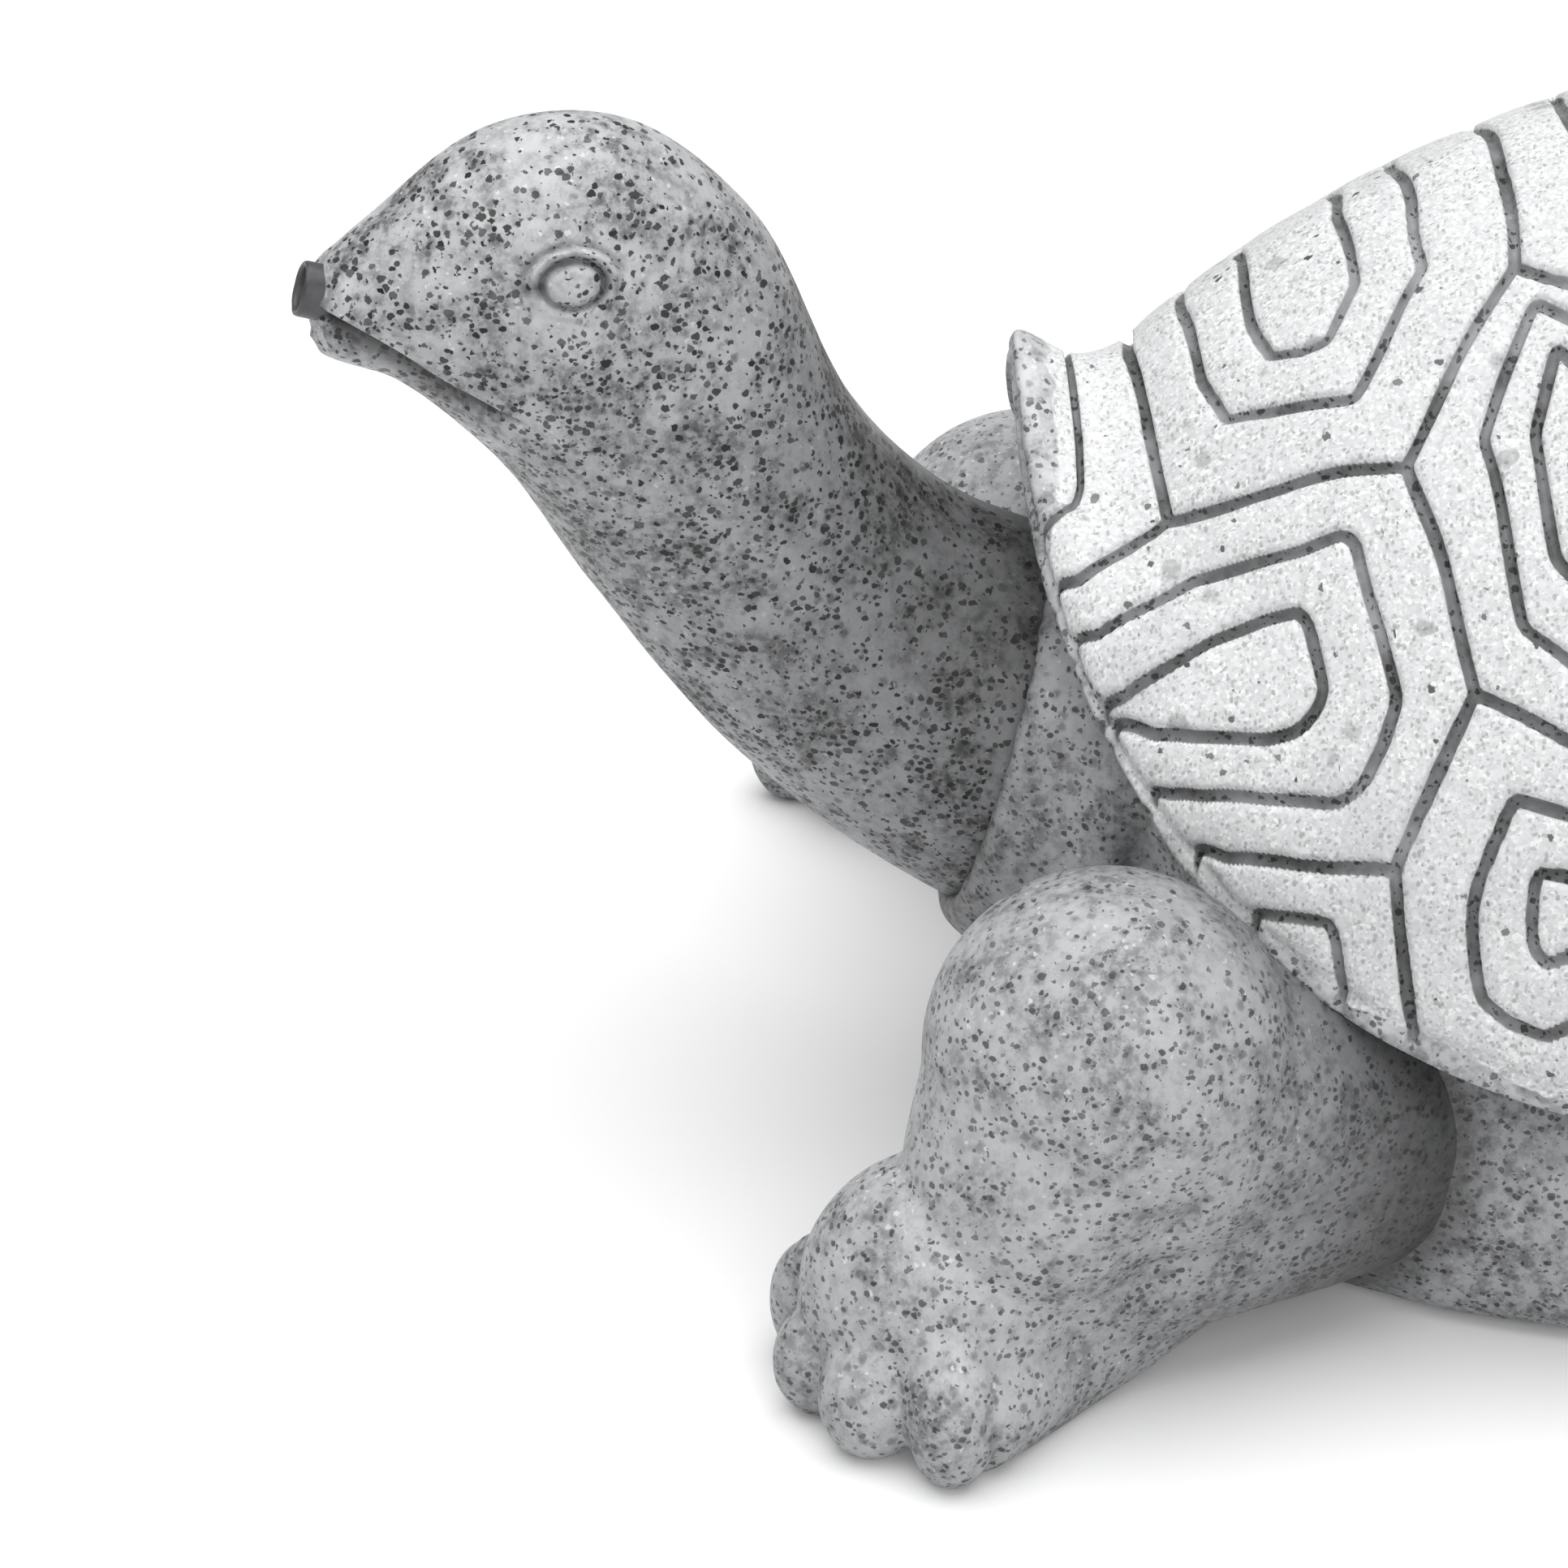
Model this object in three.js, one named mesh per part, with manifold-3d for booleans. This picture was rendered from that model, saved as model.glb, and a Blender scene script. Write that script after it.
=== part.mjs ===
// Turtle water spitter: a hollow pond ornament cast in granite-look resin.
// Millimetres, +Z up, head towards -Y, the turtle's left side towards +X, and
// y = 0 at the middle of the shell until the finished group is centred.
import * as THREE from 'three';
import { mergeVertices } from 'three/addons/utils/BufferGeometryUtils.js';
import Module from 'manifold-3d';

const wasm = await Module();
wasm.setup();

// Bonded joints
const CLEARANCE = 0.3;

// Carapace: a dome on a superellipse plan, with a rim that climbs to both ends
const SHELL_LENGTH = 279;
const SHELL_WIDTH = 224;
const SHELL_TOP = 197;
const SHELL_WALL = 9;
const PLAN_POWER = 2.4;
const CROWN_POWER = 1.6;
const FLANK_POWER = 0.64;
const RIM_SIDE_HEIGHT = 49;
const RIM_EDGE = 5;
const FRONT_BASE_HEIGHT = 107;
const FRONT_FLARE = 34;
const REAR_BASE_HEIGHT = 74;
const REAR_FLARE = 10;
const BRIM_WIDTH = 22;
const BRIM_POWER = 1.9;
const PEAK_ROUNDING = 0.08;

// Carved lines between and inside the scutes
const GROOVE_WIDTH = 3.2;
const GROOVE_DEPTH = 2;
const CARVING_STEP = 21;

// Body: a tub under the carapace
const BELLY_LENGTH = 248;
const BELLY_WIDTH = 196;
const BELLY_EDGE = 5;
const BODY_INSET = 14;
const BODY_WALL = 8;
const BULGE = 2;
const BULGE_HEIGHT = 30;
const FLOOR_THICKNESS = 9;

// Head and neck, seen from the side: top line, bottom line and half width. Lengths start at the
// front edge of the rim, and run towards the tail.
const PROFILE = [
  { top: [-118.3, 167.5], bottom: [-119.0, 156.5], half: 5 },
  { top: [-116.6, 170.2], bottom: [-117.6, 153.2], half: 8.5 },
  { top: [-106.9, 178.4], bottom: [-105.7, 147.7], half: 14.5 },
  { top: [-86.7, 191.6], bottom: [-88.0, 132.0], half: 22.5 },
  { top: [-65.1, 190.5], bottom: [-73.0, 108.6], half: 25.5 },
  { top: [-44.6, 171.6], bottom: [-61.9, 91.0], half: 26.5 },
  { top: [-27.9, 136.6], bottom: [-49.1, 74.7], half: 26.5 },
  { top: [-9.0, 117.0], bottom: [-27.7, 55.1], half: 27.5 },
  { top: [13.0, 108.4], bottom: [-3.2, 39.7], half: 29 },
  { top: [29.5, 105.0], bottom: [17.5, 36.0], half: 29 },
];
const NECK_ROOT = 0.955;
const PLUG_GAP = 0.003;
const COLLAR = [[0.845, 0.5], [0.849, 6], [0.895, 8], [0.965, 18]];
const HEAD_TURN = 12.5;
const TURN_START = -10.5;
const TURN_END = -60.5;
const MOUTH_LINE = [
  [-121, 165.5], [-115.4, 163.3], [-107.3, 158.5], [-99.6, 152.8], [-92, 148.1], [-85.8, 145],
];
const MOUTH_GAP = 2.2;
const MOUTH_DEPTH = 4;
const EYE_PLACE = { y: -79.5, z: 170.5 };
const EYE_LENGTH = 10.4;
const EYE_HEIGHT = 8.6;
const EYE_STANDOUT = 2.6;
const EYE_GROOVE = 1.6;
const BROW_RADIUS = 1.7;

// Spout and hose
const SPOUT_DIAMETER = 9.5;
const SPOUT_BORE = 7.5;
const SPOUT_LENGTH = 40;
const SPOUT_END = [19.5, -121.5, 165];
const SPOUT_YAW = 13;
const SPOUT_PITCH = 17;
const HOSE_IN_NECK = [[5, -59.5, 135], [2, -40.5, 108], [0, -12.5, 82], [0, 21.5, 68]];
const HOSE_IN_BODY = [[0, -60, 46], [0, 10, 27]];
const HOSE_WALL = 1.7;
const HOSE_OVERLAP = 14;

// Inlet at the back
const INLET_HEIGHT = 25;
const INLET_BORE = 7;
const SHANK_DIAMETER = 15;
const FLANGE_DIAMETER = 24;
const FLANGE_THICKNESS = 4;
const WASHER_THICKNESS = 2;
const OUTER_BARB_DIAMETER = 13;
const OUTER_BARB_LENGTH = 21;
const BARB_COUNT = 3;
const BARB_STEP = 0.9;
const INNER_BARB_LENGTH = 18;
const NUT_ACROSS_FLATS = 21;
const NUT_THICKNESS = 6;
const SEAT_DIAMETER = 29;
const SEAT_DEPTH = 3;
const CLIP_WIDTH = 7;
const CLIP_THICKNESS = 0.9;
const CLIP_EAR = 4;

// Legs on the left side: an upper arm to a round shoulder, a low paddle to the foot, a sole along its
// outer edge, and toes given by their turn from straight ahead and their reach
const PADDLE_SHARE = 0.7;
const SOLE_SHARE = 0.8;
const FRONT_LEG = {
  root: [56, -75, 38],
  rootHalf: [31, 30],
  shoulder: [95, -128, 60],
  shoulderRadius: 30.5,
  heel: [83, -106, 30],
  heelHalf: [24, 23],
  ankle: [103, -144, 35],
  ankleRadius: 21,
  foot: [104, -155, 20],
  footHalf: [22, 26, 24],
  sole: [104, -139, 11],
  soleHalf: [13, 15],
  toeHalf: [17, 8.5, 18],
  toeHeight: 9,
  toes: [[-31, 33.5], [8, 28.5], [44, 28], [84, 31]],
};
const FRONT_RIGHT_LEG = { ...FRONT_LEG, toes: [[-2, 29.5], [26, 28.5], [50, 28], [84, 31]] };
const REAR_LEG = {
  root: [56, 62, 34],
  rootHalf: [22, 29],
  shoulder: [90, 96, 44],
  shoulderRadius: 29,
  heel: [84, 92, 25],
  heelHalf: [23, 22],
  ankle: [99, 104, 26],
  ankleRadius: 21,
  foot: [104, 113, 15],
  footHalf: [21, 22, 20],
  sole: [101, 102, 11],
  soleHalf: [11, 13],
  toeHalf: [16, 8, 14],
  toeHeight: 8,
  toes: [[170, 28], [143, 28], [117, 28], [90, 28]],
};

// Tail
const TAIL = [
  { y: 105, z: 58, radius: 17 },
  { y: 122, z: 56, radius: 14 },
  { y: 138, z: 52, radius: 9 },
  { y: 148, z: 48, radius: 4.5 },
  { y: 152, z: 46, radius: 1.5 },
];

// Facets
const SHELL_SEGMENTS = 44;
const BODY_SEGMENTS = 32;
const NECK_SEGMENTS = 20;
const NECK_STATIONS = 18;
const LIMB_SEGMENTS = 10;
const HOSE_STEPS = 20;
const HOSE_SIDES = 8;

const HALF_LENGTH = SHELL_LENGTH / 2;
const HALF_WIDTH = SHELL_WIDTH / 2;
const HOSE_BORE = SPOUT_DIAMETER + 2 * CLEARANCE;
const HOSE_DIAMETER = HOSE_BORE + 2 * HOSE_WALL;

// Solids from rings of points

function signedVolume(positions, triangles) {
  const [a, b, c] = [new THREE.Vector3(), new THREE.Vector3(), new THREE.Vector3()];
  let sum = 0;
  for (let i = 0; i < triangles.length; i += 3) {
    a.fromArray(positions, 3 * triangles[i]);
    b.fromArray(positions, 3 * triangles[i + 1]);
    c.fromArray(positions, 3 * triangles[i + 2]);
    sum += a.dot(b.cross(c));
  }
  return sum / 6;
}

function solidFrom(positions, triangles) {
  if (signedVolume(positions, triangles) < 0) {
    for (let i = 0; i < triangles.length; i += 3) {
      [triangles[i + 1], triangles[i + 2]] = [triangles[i + 2], triangles[i + 1]];
    }
  }
  return new wasm.Manifold(new wasm.Mesh({
    numProp: 3,
    vertProperties: new Float32Array(positions),
    triVerts: new Uint32Array(triangles),
  }));
}

function solidOf(geometry) {
  geometry.deleteAttribute('normal');
  geometry.deleteAttribute('uv');
  const merged = mergeVertices(geometry, 1e-4);
  return solidFrom(Array.from(merged.attributes.position.array), Array.from(merged.index.array));
}

// A closed solid through rings of equal count. Open runs end in fans; closed runs join up.
function loft(rings, { joined = false, startTip = null, endTip = null } = {}) {
  const count = rings[0].length;
  const positions = rings.flat().flatMap((p) => [p.x, p.y, p.z]);
  const triangles = [];
  const last = joined ? rings.length : rings.length - 1;
  for (let r = 0; r < last; r++) {
    const from = r * count;
    const to = ((r + 1) % rings.length) * count;
    for (let i = 0; i < count; i++) {
      const j = (i + 1) % count;
      triangles.push(from + i, from + j, to + j, from + i, to + j, to + i);
    }
  }
  if (!joined) {
    const ends = [[0, startTip, true], [rings.length - 1, endTip, false]];
    for (const [ring, tip, start] of ends) {
      const centre = tip ?? rings[ring].reduce((s, p) => s.add(p), new THREE.Vector3()).divideScalar(count);
      const hub = positions.length / 3;
      positions.push(centre.x, centre.y, centre.z);
      for (let i = 0; i < count; i++) {
        const a = ring * count + i;
        const b = ring * count + (i + 1) % count;
        triangles.push(...(start ? [hub, b, a] : [hub, a, b]));
      }
    }
  }
  return solidFrom(positions, triangles);
}

function ringOf(count, pointAt) {
  return Array.from({ length: count }, (_, i) => pointAt(2 * Math.PI * i / count));
}

function ellipsoid(centre, half, { heading = 0, segments = 14, rows = 9 } = {}) {
  const geometry = new THREE.SphereGeometry(1, segments, rows);
  geometry.rotateX(Math.PI / 2);
  geometry.scale(...half);
  geometry.rotateZ(heading);
  geometry.translate(...centre);
  return solidOf(geometry);
}

// A solid of revolution about an axis through origin along direction, from [along, radius] points
function turned(outline, origin, direction, segments) {
  const points = outline.map(([along, radius]) => new THREE.Vector2(radius, along));
  const geometry = new THREE.LatheGeometry(points, segments);
  const turn = new THREE.Quaternion().setFromUnitVectors(new THREE.Vector3(0, 1, 0), direction);
  geometry.applyQuaternion(turn);
  geometry.translate(origin.x, origin.y, origin.z);
  return solidOf(geometry);
}

function rod(diameter, start, end, segments) {
  const along = end.clone().sub(start);
  const outline = [[0, 0], [0, diameter / 2], [along.length(), diameter / 2], [along.length(), 0]];
  return turned(outline, start, along.normalize(), segments);
}

// A round bar or tube along a curve. The flats of its bore keep the bore's full size.
function tubeAlong(curve, outer, inner, steps, sides) {
  const shape = new THREE.Shape().absarc(0, 0, outer / 2, 0, 2 * Math.PI);
  const boreCorner = inner / 2 / Math.cos(Math.PI / sides);
  if (inner > 0) shape.holes.push(new THREE.Path().absarc(0, 0, boreCorner, 0, 2 * Math.PI, true));
  const curveSegments = Math.ceil(sides / 2);
  return solidOf(new THREE.ExtrudeGeometry(shape, { steps, curveSegments, extrudePath: curve }));
}

function slab(low, high) {
  const geometry = new THREE.BoxGeometry(...high.map((v, i) => v - low[i]));
  geometry.translate(...high.map((v, i) => (v + low[i]) / 2));
  return solidOf(geometry);
}

const BELOW_GROUND = slab(
  [-2 * SHELL_WIDTH, -2 * SHELL_LENGTH, -SHELL_TOP], [2 * SHELL_WIDTH, 2 * SHELL_LENGTH, 0]);

// Carapace surface

// How far round from the middle of an end (0) to the flank (1), and the plan point there
function planPoint(angle, halfWidth, halfLength) {
  const s = Math.sin(angle);
  const c = Math.cos(angle);
  const reach = (Math.abs(s) ** PLAN_POWER + Math.abs(c) ** PLAN_POWER) ** (-1 / PLAN_POWER);
  return { x: halfWidth * s * reach, y: -halfLength * c * reach, flank: Math.abs(s * reach), front: c > 0 };
}

// Share of the climb from the flank rim to the rim at an end, with a rounded peak
function climb(flank) {
  return 1 - (1 + PEAK_ROUNDING) * flank ** 2 / (flank + PEAK_ROUNDING);
}

function domeHeight(reach, flank, front, top, lower) {
  const end = climb(flank);
  const base = RIM_SIDE_HEIGHT + ((front ? FRONT_BASE_HEIGHT : REAR_BASE_HEIGHT) - RIM_SIDE_HEIGHT) * end;
  const brimStart = 1 - BRIM_WIDTH / HALF_LENGTH;
  const brim = Math.max(0, (reach - brimStart) / (1 - brimStart)) ** BRIM_POWER;
  const flare = (front ? FRONT_FLARE : REAR_FLARE) * end * brim;
  const crown = Math.max(0, 1 - reach ** CROWN_POWER) ** FLANK_POWER;
  return base + lower * end + (top - base - lower * end) * crown + flare;
}

function outerPoint(angle, reach, grow = 0) {
  const p = planPoint(angle, HALF_WIDTH + grow, HALF_LENGTH + grow);
  const height = domeHeight(reach, p.flank, p.front, SHELL_TOP + grow - RIM_EDGE, 0) + RIM_EDGE;
  return new THREE.Vector3(p.x * reach, p.y * reach, height);
}

function innerPoint(angle, reach, drop = 0) {
  const p = planPoint(angle, HALF_WIDTH - SHELL_WALL - drop, HALF_LENGTH - SHELL_WALL - drop);
  const height = domeHeight(reach, p.flank, p.front, SHELL_TOP - SHELL_WALL, RIM_EDGE - SHELL_WALL) - drop;
  return new THREE.Vector3(p.x * reach, p.y * reach, height);
}

// Where a plan point lies between the crown (0) and the rim (1)
function reachOf(x, y) {
  const [wide, long] = [Math.abs(x) / HALF_WIDTH, Math.abs(y) / HALF_LENGTH];
  return (wide ** PLAN_POWER + long ** PLAN_POWER) ** (1 / PLAN_POWER);
}

// Height of the outside of the dome over a plan point
function domeOver(x, y) {
  const reach = reachOf(x, y);
  const flank = reach > 0 ? Math.abs(x) / HALF_WIDTH / reach : 0;
  return domeHeight(Math.min(reach, 1), flank, y < 0, SHELL_TOP - RIM_EDGE, 0) + RIM_EDGE;
}

function outwardAt(x, y) {
  const step = 0.5;
  const dx = (domeOver(x + step, y) - domeOver(x - step, y)) / (2 * step);
  const dy = (domeOver(x, y + step) - domeOver(x, y - step)) / (2 * step);
  return new THREE.Vector3(-dx, -dy, 1).normalize();
}

const OUTER_REACHES = [0.46, 0.79, 0.87, 0.93, 0.965, 0.985, 0.995, 1];
const INNER_REACHES = [1, 0.94, 0.84, 0.66, 0.36];
const FILL_REACH = 0.7;
const ON_RIM = 0.999;

// Scute corners on the left front quarter, as shares of the half width and half length
const CORNER = {
  nuchal: [0.335, -0.835],
  firstPoint: [0.465, -0.57],
  firstBack: [0.275, -0.42],
  secondPoint: [0.475, -0.21],
  secondBack: [0.285, 0],
  costalFoot: [0.72, -0.49],
  shoulderFoot: [0.8, -0.59],
  costalTip: [0.86, -0.34],
  middleFoot: [0.745, -0.2],
  middleTip: [0.87, 0],
  rimNuchal: [0.34, -0.97],
  rimShoulder: [0.66, -0.83],
  rimFlank: [0.885, -0.57],
  rimCostal: [0.965, -0.36],
  rimMiddle: [1, 0],
};

// Each scute's corners in order. A letter before the dash puts a corner on the right (r) or at the back (b).
// Rings are shares of the way from the centre to the outline, across and along the shell. Where the rim
// cuts a scute open, the two ends of a ring are shares of the way from a centre on the rim.
const WHOLE = { wide: 1, long: 1, rim: 1 };
const LARGE_RINGS = [{ wide: 0.78, long: 0.56 }, { wide: 0.52, long: 0.26 }];
const SMALL_RINGS = [{ wide: 0.53, long: 0.48 }, { wide: 0.26, long: 0.22 }];
const MIDLINE_SCUTES = [
  {
    corners: ['-rimNuchal', '-nuchal', 'r-nuchal', 'r-rimNuchal'],
    centre: [0, -1],
    rimCentre: [0, -1],
    rings: [{ wide: 0.8, long: 0.43, rim: 0.78 }],
  },
  {
    corners: ['-nuchal', '-firstPoint', '-firstBack', 'r-firstBack', 'r-firstPoint', 'r-nuchal'],
    centre: [0, -0.665],
    rings: LARGE_RINGS,
  },
  {
    corners: ['-firstBack', '-secondPoint', '-secondBack', 'r-secondBack', 'r-secondPoint', 'r-firstBack'],
    rings: LARGE_RINGS,
  },
];
const FLANK_SCUTES = [
  {
    corners: ['-rimNuchal', '-nuchal', '-firstPoint', '-costalFoot', '-shoulderFoot', '-rimShoulder'],
    centre: [0.605, -0.76],
    rimCentre: [0.52, -0.905],
    rings: [{ wide: 0.66, long: 0.66, rim: 0.58 }, { wide: 0.38, long: 0.37, rim: 0.14 }],
  },
  {
    corners: ['-rimShoulder', '-shoulderFoot', '-rimFlank'],
    centre: [0.79, -0.71],
    rimCentre: [0.79, -0.71],
    rings: [{ wide: 0.42, long: 0.42, rim: 0.4 }],
  },
  {
    corners: ['-firstPoint', '-firstBack', '-secondPoint', '-middleFoot', '-costalTip', '-costalFoot'],
    centre: [0.56, -0.37],
    rings: LARGE_RINGS,
  },
  {
    corners: ['-shoulderFoot', '-costalFoot', '-costalTip', '-rimCostal', '-rimFlank'],
    centre: [0.905, -0.42],
    rings: SMALL_RINGS,
  },
  {
    corners: ['-costalTip', '-middleFoot', '-middleTip', '-rimMiddle', '-rimCostal'],
    centre: [0.925, -0.18],
    rings: SMALL_RINGS,
  },
];
const MIDDLE_SCUTE = {
  corners: ['-secondBack', '-secondPoint', '-middleFoot', '-middleTip', 'b-middleFoot', 'b-secondPoint'],
  centre: [0.56, 0],
  rings: LARGE_RINGS,
};

function corner(name) {
  const [, right, back, key] = name.match(/^(r?)(b?)-(\w+)$/);
  const [x, y] = CORNER[key];
  return { x: right ? -x : x, y: back ? -y : y, onRim: key.startsWith('rim') };
}

function ontoRim(p) {
  const reach = reachOf(p.x, p.y);
  return new THREE.Vector2(p.x / reach, p.y / reach);
}

// A point on the way between two corners, the same whichever end it is counted from
function evenly(from, to, step, steps) {
  const backward = from.x > to.x || (from.x === to.x && from.y > to.y);
  return backward ? to.clone().lerp(from, (steps - step) / steps) : from.clone().lerp(to, step / steps);
}

// The outline of a scute as close-set plan points, the centre that its rings draw in to, and the hub
// that closes it
function scutePlan({ corners, centre = null, rimCentre = null, rings }, mirrorX, mirrorY) {
  const place = (x, y) => new THREE.Vector2(x * mirrorX * HALF_WIDTH, y * mirrorY * HALF_LENGTH);
  const ends = corners.map((name) => {
    const { x, y, onRim } = corner(name);
    return { at: onRim ? ontoRim(place(x, y)) : place(x, y), onRim };
  });
  const outline = [];
  const spans = rimCentre ? ends.length - 1 : ends.length;
  for (let i = 0; i < spans; i++) {
    const [from, to] = [ends[i], ends[(i + 1) % ends.length]];
    const alongRim = !rimCentre && from.onRim && to.onRim;
    const rise = domeOver(to.at.x, to.at.y) - domeOver(from.at.x, from.at.y);
    const steps = Math.ceil(Math.hypot(from.at.distanceTo(to.at), rise) / CARVING_STEP);
    for (let s = 0; s < steps; s++) {
      const at = evenly(from.at, to.at, s, steps);
      const plain = alongRim && s > 0;
      outline.push({ at: plain ? ontoRim(at) : at, carved: !plain });
    }
  }
  if (rimCentre) outline.push({ at: ends.at(-1).at, carved: true });
  const middle = ends.reduce((sum, { at }) => sum.add(at), new THREE.Vector2()).divideScalar(ends.length);
  const drawnTo = centre ? place(...centre) : middle;
  const hub = rimCentre ? ontoRim(place(...rimCentre)) : drawnTo;
  const open = rimCentre !== null;
  const winding = THREE.ShapeUtils.area([...outline.map(({ at }) => at), ...(open ? [hub] : [])]);
  return { outline: winding < 0 ? outline.reverse() : outline, drawnTo, hub, open, rings };
}

function allScutes() {
  const scutes = [];
  for (const mirrorY of [1, -1]) {
    scutes.push(...MIDLINE_SCUTES.map((scute) => scutePlan(scute, 1, mirrorY)));
    for (const mirrorX of [1, -1]) {
      scutes.push(...FLANK_SCUTES.map((scute) => scutePlan(scute, mirrorX, mirrorY)));
    }
  }
  for (const mirrorX of [1, -1]) scutes.push(scutePlan(MIDDLE_SCUTE, mirrorX, 1));
  return scutes;
}

// One loop of a scute: its outline drawn in by shares, shifted across by an inset and sunk by a depth
function carvedLoop({ outline, drawnTo, hub, open }, { wide, long, rim }, inset, depth) {
  const isEnd = (i) => open && (i === 0 || i === outline.length - 1);
  const drawn = outline.map(({ at }, i) => {
    if (isEnd(i)) return ontoRim(hub.clone().lerp(at, rim));
    const x = THREE.MathUtils.lerp(drawnTo.x, at.x, wide);
    return new THREE.Vector2(x, THREE.MathUtils.lerp(drawnTo.y, at.y, long));
  });
  return drawn.map((p, i) => {
    const before = drawn[open ? Math.max(0, i - 1) : (i + drawn.length - 1) % drawn.length];
    const after = drawn[open ? Math.min(drawn.length - 1, i + 1) : (i + 1) % drawn.length];
    const along = isEnd(i) ? hub.clone().sub(p) : after.clone().sub(before);
    const inward = isEnd(i) ? along : new THREE.Vector2(-along.y, along.x);
    inward.normalize();
    const slope = domeOver(p.x + inward.x, p.y + inward.y) - domeOver(p.x, p.y);
    const shifted = p.clone().addScaledVector(inward, inset / Math.hypot(1, slope));
    const at = isEnd(i) ? ontoRim(shifted) : shifted;
    const sunk = outline[i].carved || wide < 1 ? depth : 0;
    const outward = reachOf(at.x, at.y) > ON_RIM ? new THREE.Vector3(0, 0, 1) : outwardAt(at.x, at.y);
    return new THREE.Vector3(at.x, at.y, domeOver(at.x, at.y)).addScaledVector(outward, -sunk);
  });
}

// The carved upper face: every scute is a nest of strips between loops, closed at its centre
function carvedFace() {
  const [lip, depth] = [GROOVE_WIDTH / 2, GROOVE_DEPTH];
  const vertices = [];
  const known = new Map();
  const triangles = [];
  const vertex = (p) => {
    const key = p.toArray().map((v) => Math.round(v * 1000)).join(' ');
    if (!known.has(key)) known.set(key, vertices.push(p) - 1);
    return known.get(key);
  };
  for (const scute of allScutes()) {
    const loops = [carvedLoop(scute, WHOLE, 0, depth), carvedLoop(scute, WHOLE, lip, 0)];
    for (const ring of scute.rings) {
      loops.push(carvedLoop(scute, ring, -lip, 0));
      loops.push(carvedLoop(scute, ring, 0, depth));
      loops.push(carvedLoop(scute, ring, lip, 0));
    }
    const rows = loops.map((loop) => loop.map(vertex));
    const { x, y } = scute.hub;
    const hub = vertex(new THREE.Vector3(x, y, domeOver(x, y)));
    const count = rows[0].length;
    for (let i = 0; i < (scute.open ? count - 1 : count); i++) {
      const j = (i + 1) % count;
      for (let r = 0; r + 1 < rows.length; r++) {
        const [outer, inner] = [rows[r], rows[r + 1]];
        triangles.push([outer[i], outer[j], inner[j]], [outer[i], inner[j], inner[i]]);
      }
      triangles.push([rows.at(-1)[i], rows.at(-1)[j], hub]);
    }
  }
  return { vertices, triangles };
}

// The edge of a face, as its vertices in order
function edgeOf(triangles) {
  const next = new Map();
  const sides = new Set(triangles.flatMap(([a, b, c]) => [`${a} ${b}`, `${b} ${c}`, `${c} ${a}`]));
  for (const side of sides) {
    const [a, b] = side.split(' ').map(Number);
    if (!sides.has(`${b} ${a}`)) next.set(a, b);
  }
  const [start] = next.keys();
  const edge = [start];
  while (next.get(edge.at(-1)) !== start) edge.push(next.get(edge.at(-1)));
  return edge;
}

// How far round a point lies from the middle of the front, towards the left
function turnOf({ x, y }) {
  const turn = Math.atan2(x / HALF_WIDTH, -y / HALF_LENGTH);
  return turn < 0 ? turn + 2 * Math.PI : turn;
}

// Triangles between two rings that run the same way round, each given with its turns in rising order
function strip(outer, outerTurns, inner, innerTurns) {
  const turnAfter = (turns, i) => (i + 1 < turns.length ? turns[i + 1] : turns[0] + 2 * Math.PI);
  const triangles = [];
  let [i, j] = [0, 0];
  while (i < outer.length || j < inner.length) {
    const [a, b] = [outer[i % outer.length], inner[j % inner.length]];
    const outerLeads = i < outer.length
      && (j === inner.length || turnAfter(outerTurns, i) <= turnAfter(innerTurns, j));
    if (outerLeads) i += 1;
    else j += 1;
    triangles.push([a, b, outerLeads ? outer[i % outer.length] : inner[j % inner.length]]);
  }
  return triangles;
}

// A solid that runs from the edge of a face through further rings of points to a closing tip
function closedBy({ vertices, triangles }, edge, rings, tip) {
  let ids = edge;
  let turns = edge.map((i) => turnOf(vertices[i]));
  for (const points of rings) {
    const next = points.map((p) => vertices.push(p) - 1);
    const nextTurns = points.map(turnOf);
    triangles.push(...strip(ids, turns, next, nextTurns));
    [ids, turns] = [next, nextTurns];
  }
  const last = vertices.push(tip) - 1;
  ids.forEach((from, i) => triangles.push([from, last, ids[(i + 1) % ids.length]]));
  return solidFrom(vertices.flatMap((p) => p.toArray()), triangles.flat());
}

function rimUnder(turn, grow, gap) {
  return outerPoint(turn, 1, grow).sub(new THREE.Vector3(0, 0, RIM_EDGE + gap));
}

const CARVED_FACE = carvedFace();
const CARVED_EDGE = edgeOf(CARVED_FACE.triangles)
  .sort((a, b) => turnOf(CARVED_FACE.vertices[a]) - turnOf(CARVED_FACE.vertices[b]));
const RIM_TURNS = CARVED_EDGE.map((i) => turnOf(CARVED_FACE.vertices[i]));

function carapaceSolid() {
  const rings = [
    RIM_TURNS.map((turn) => rimUnder(turn, 0, 0)),
    ...INNER_REACHES.map((reach) => ringOf(SHELL_SEGMENTS, (turn) => innerPoint(turn, reach))),
  ];
  return closedBy(CARVED_FACE, CARVED_EDGE, rings, innerPoint(0, 0));
}

// Everything under the carapace's inner face, for trimming what stands inside it
function underShell() {
  const rings = INNER_REACHES.toReversed().map((reach) => (
    ringOf(SHELL_SEGMENTS, (a) => innerPoint(a, reach, CLEARANCE))));
  rings.push(ringOf(SHELL_SEGMENTS, (a) => innerPoint(a, 1, CLEARANCE).setZ(-1)));
  return loft(rings, { startTip: innerPoint(0, 0, CLEARANCE) });
}

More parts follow.
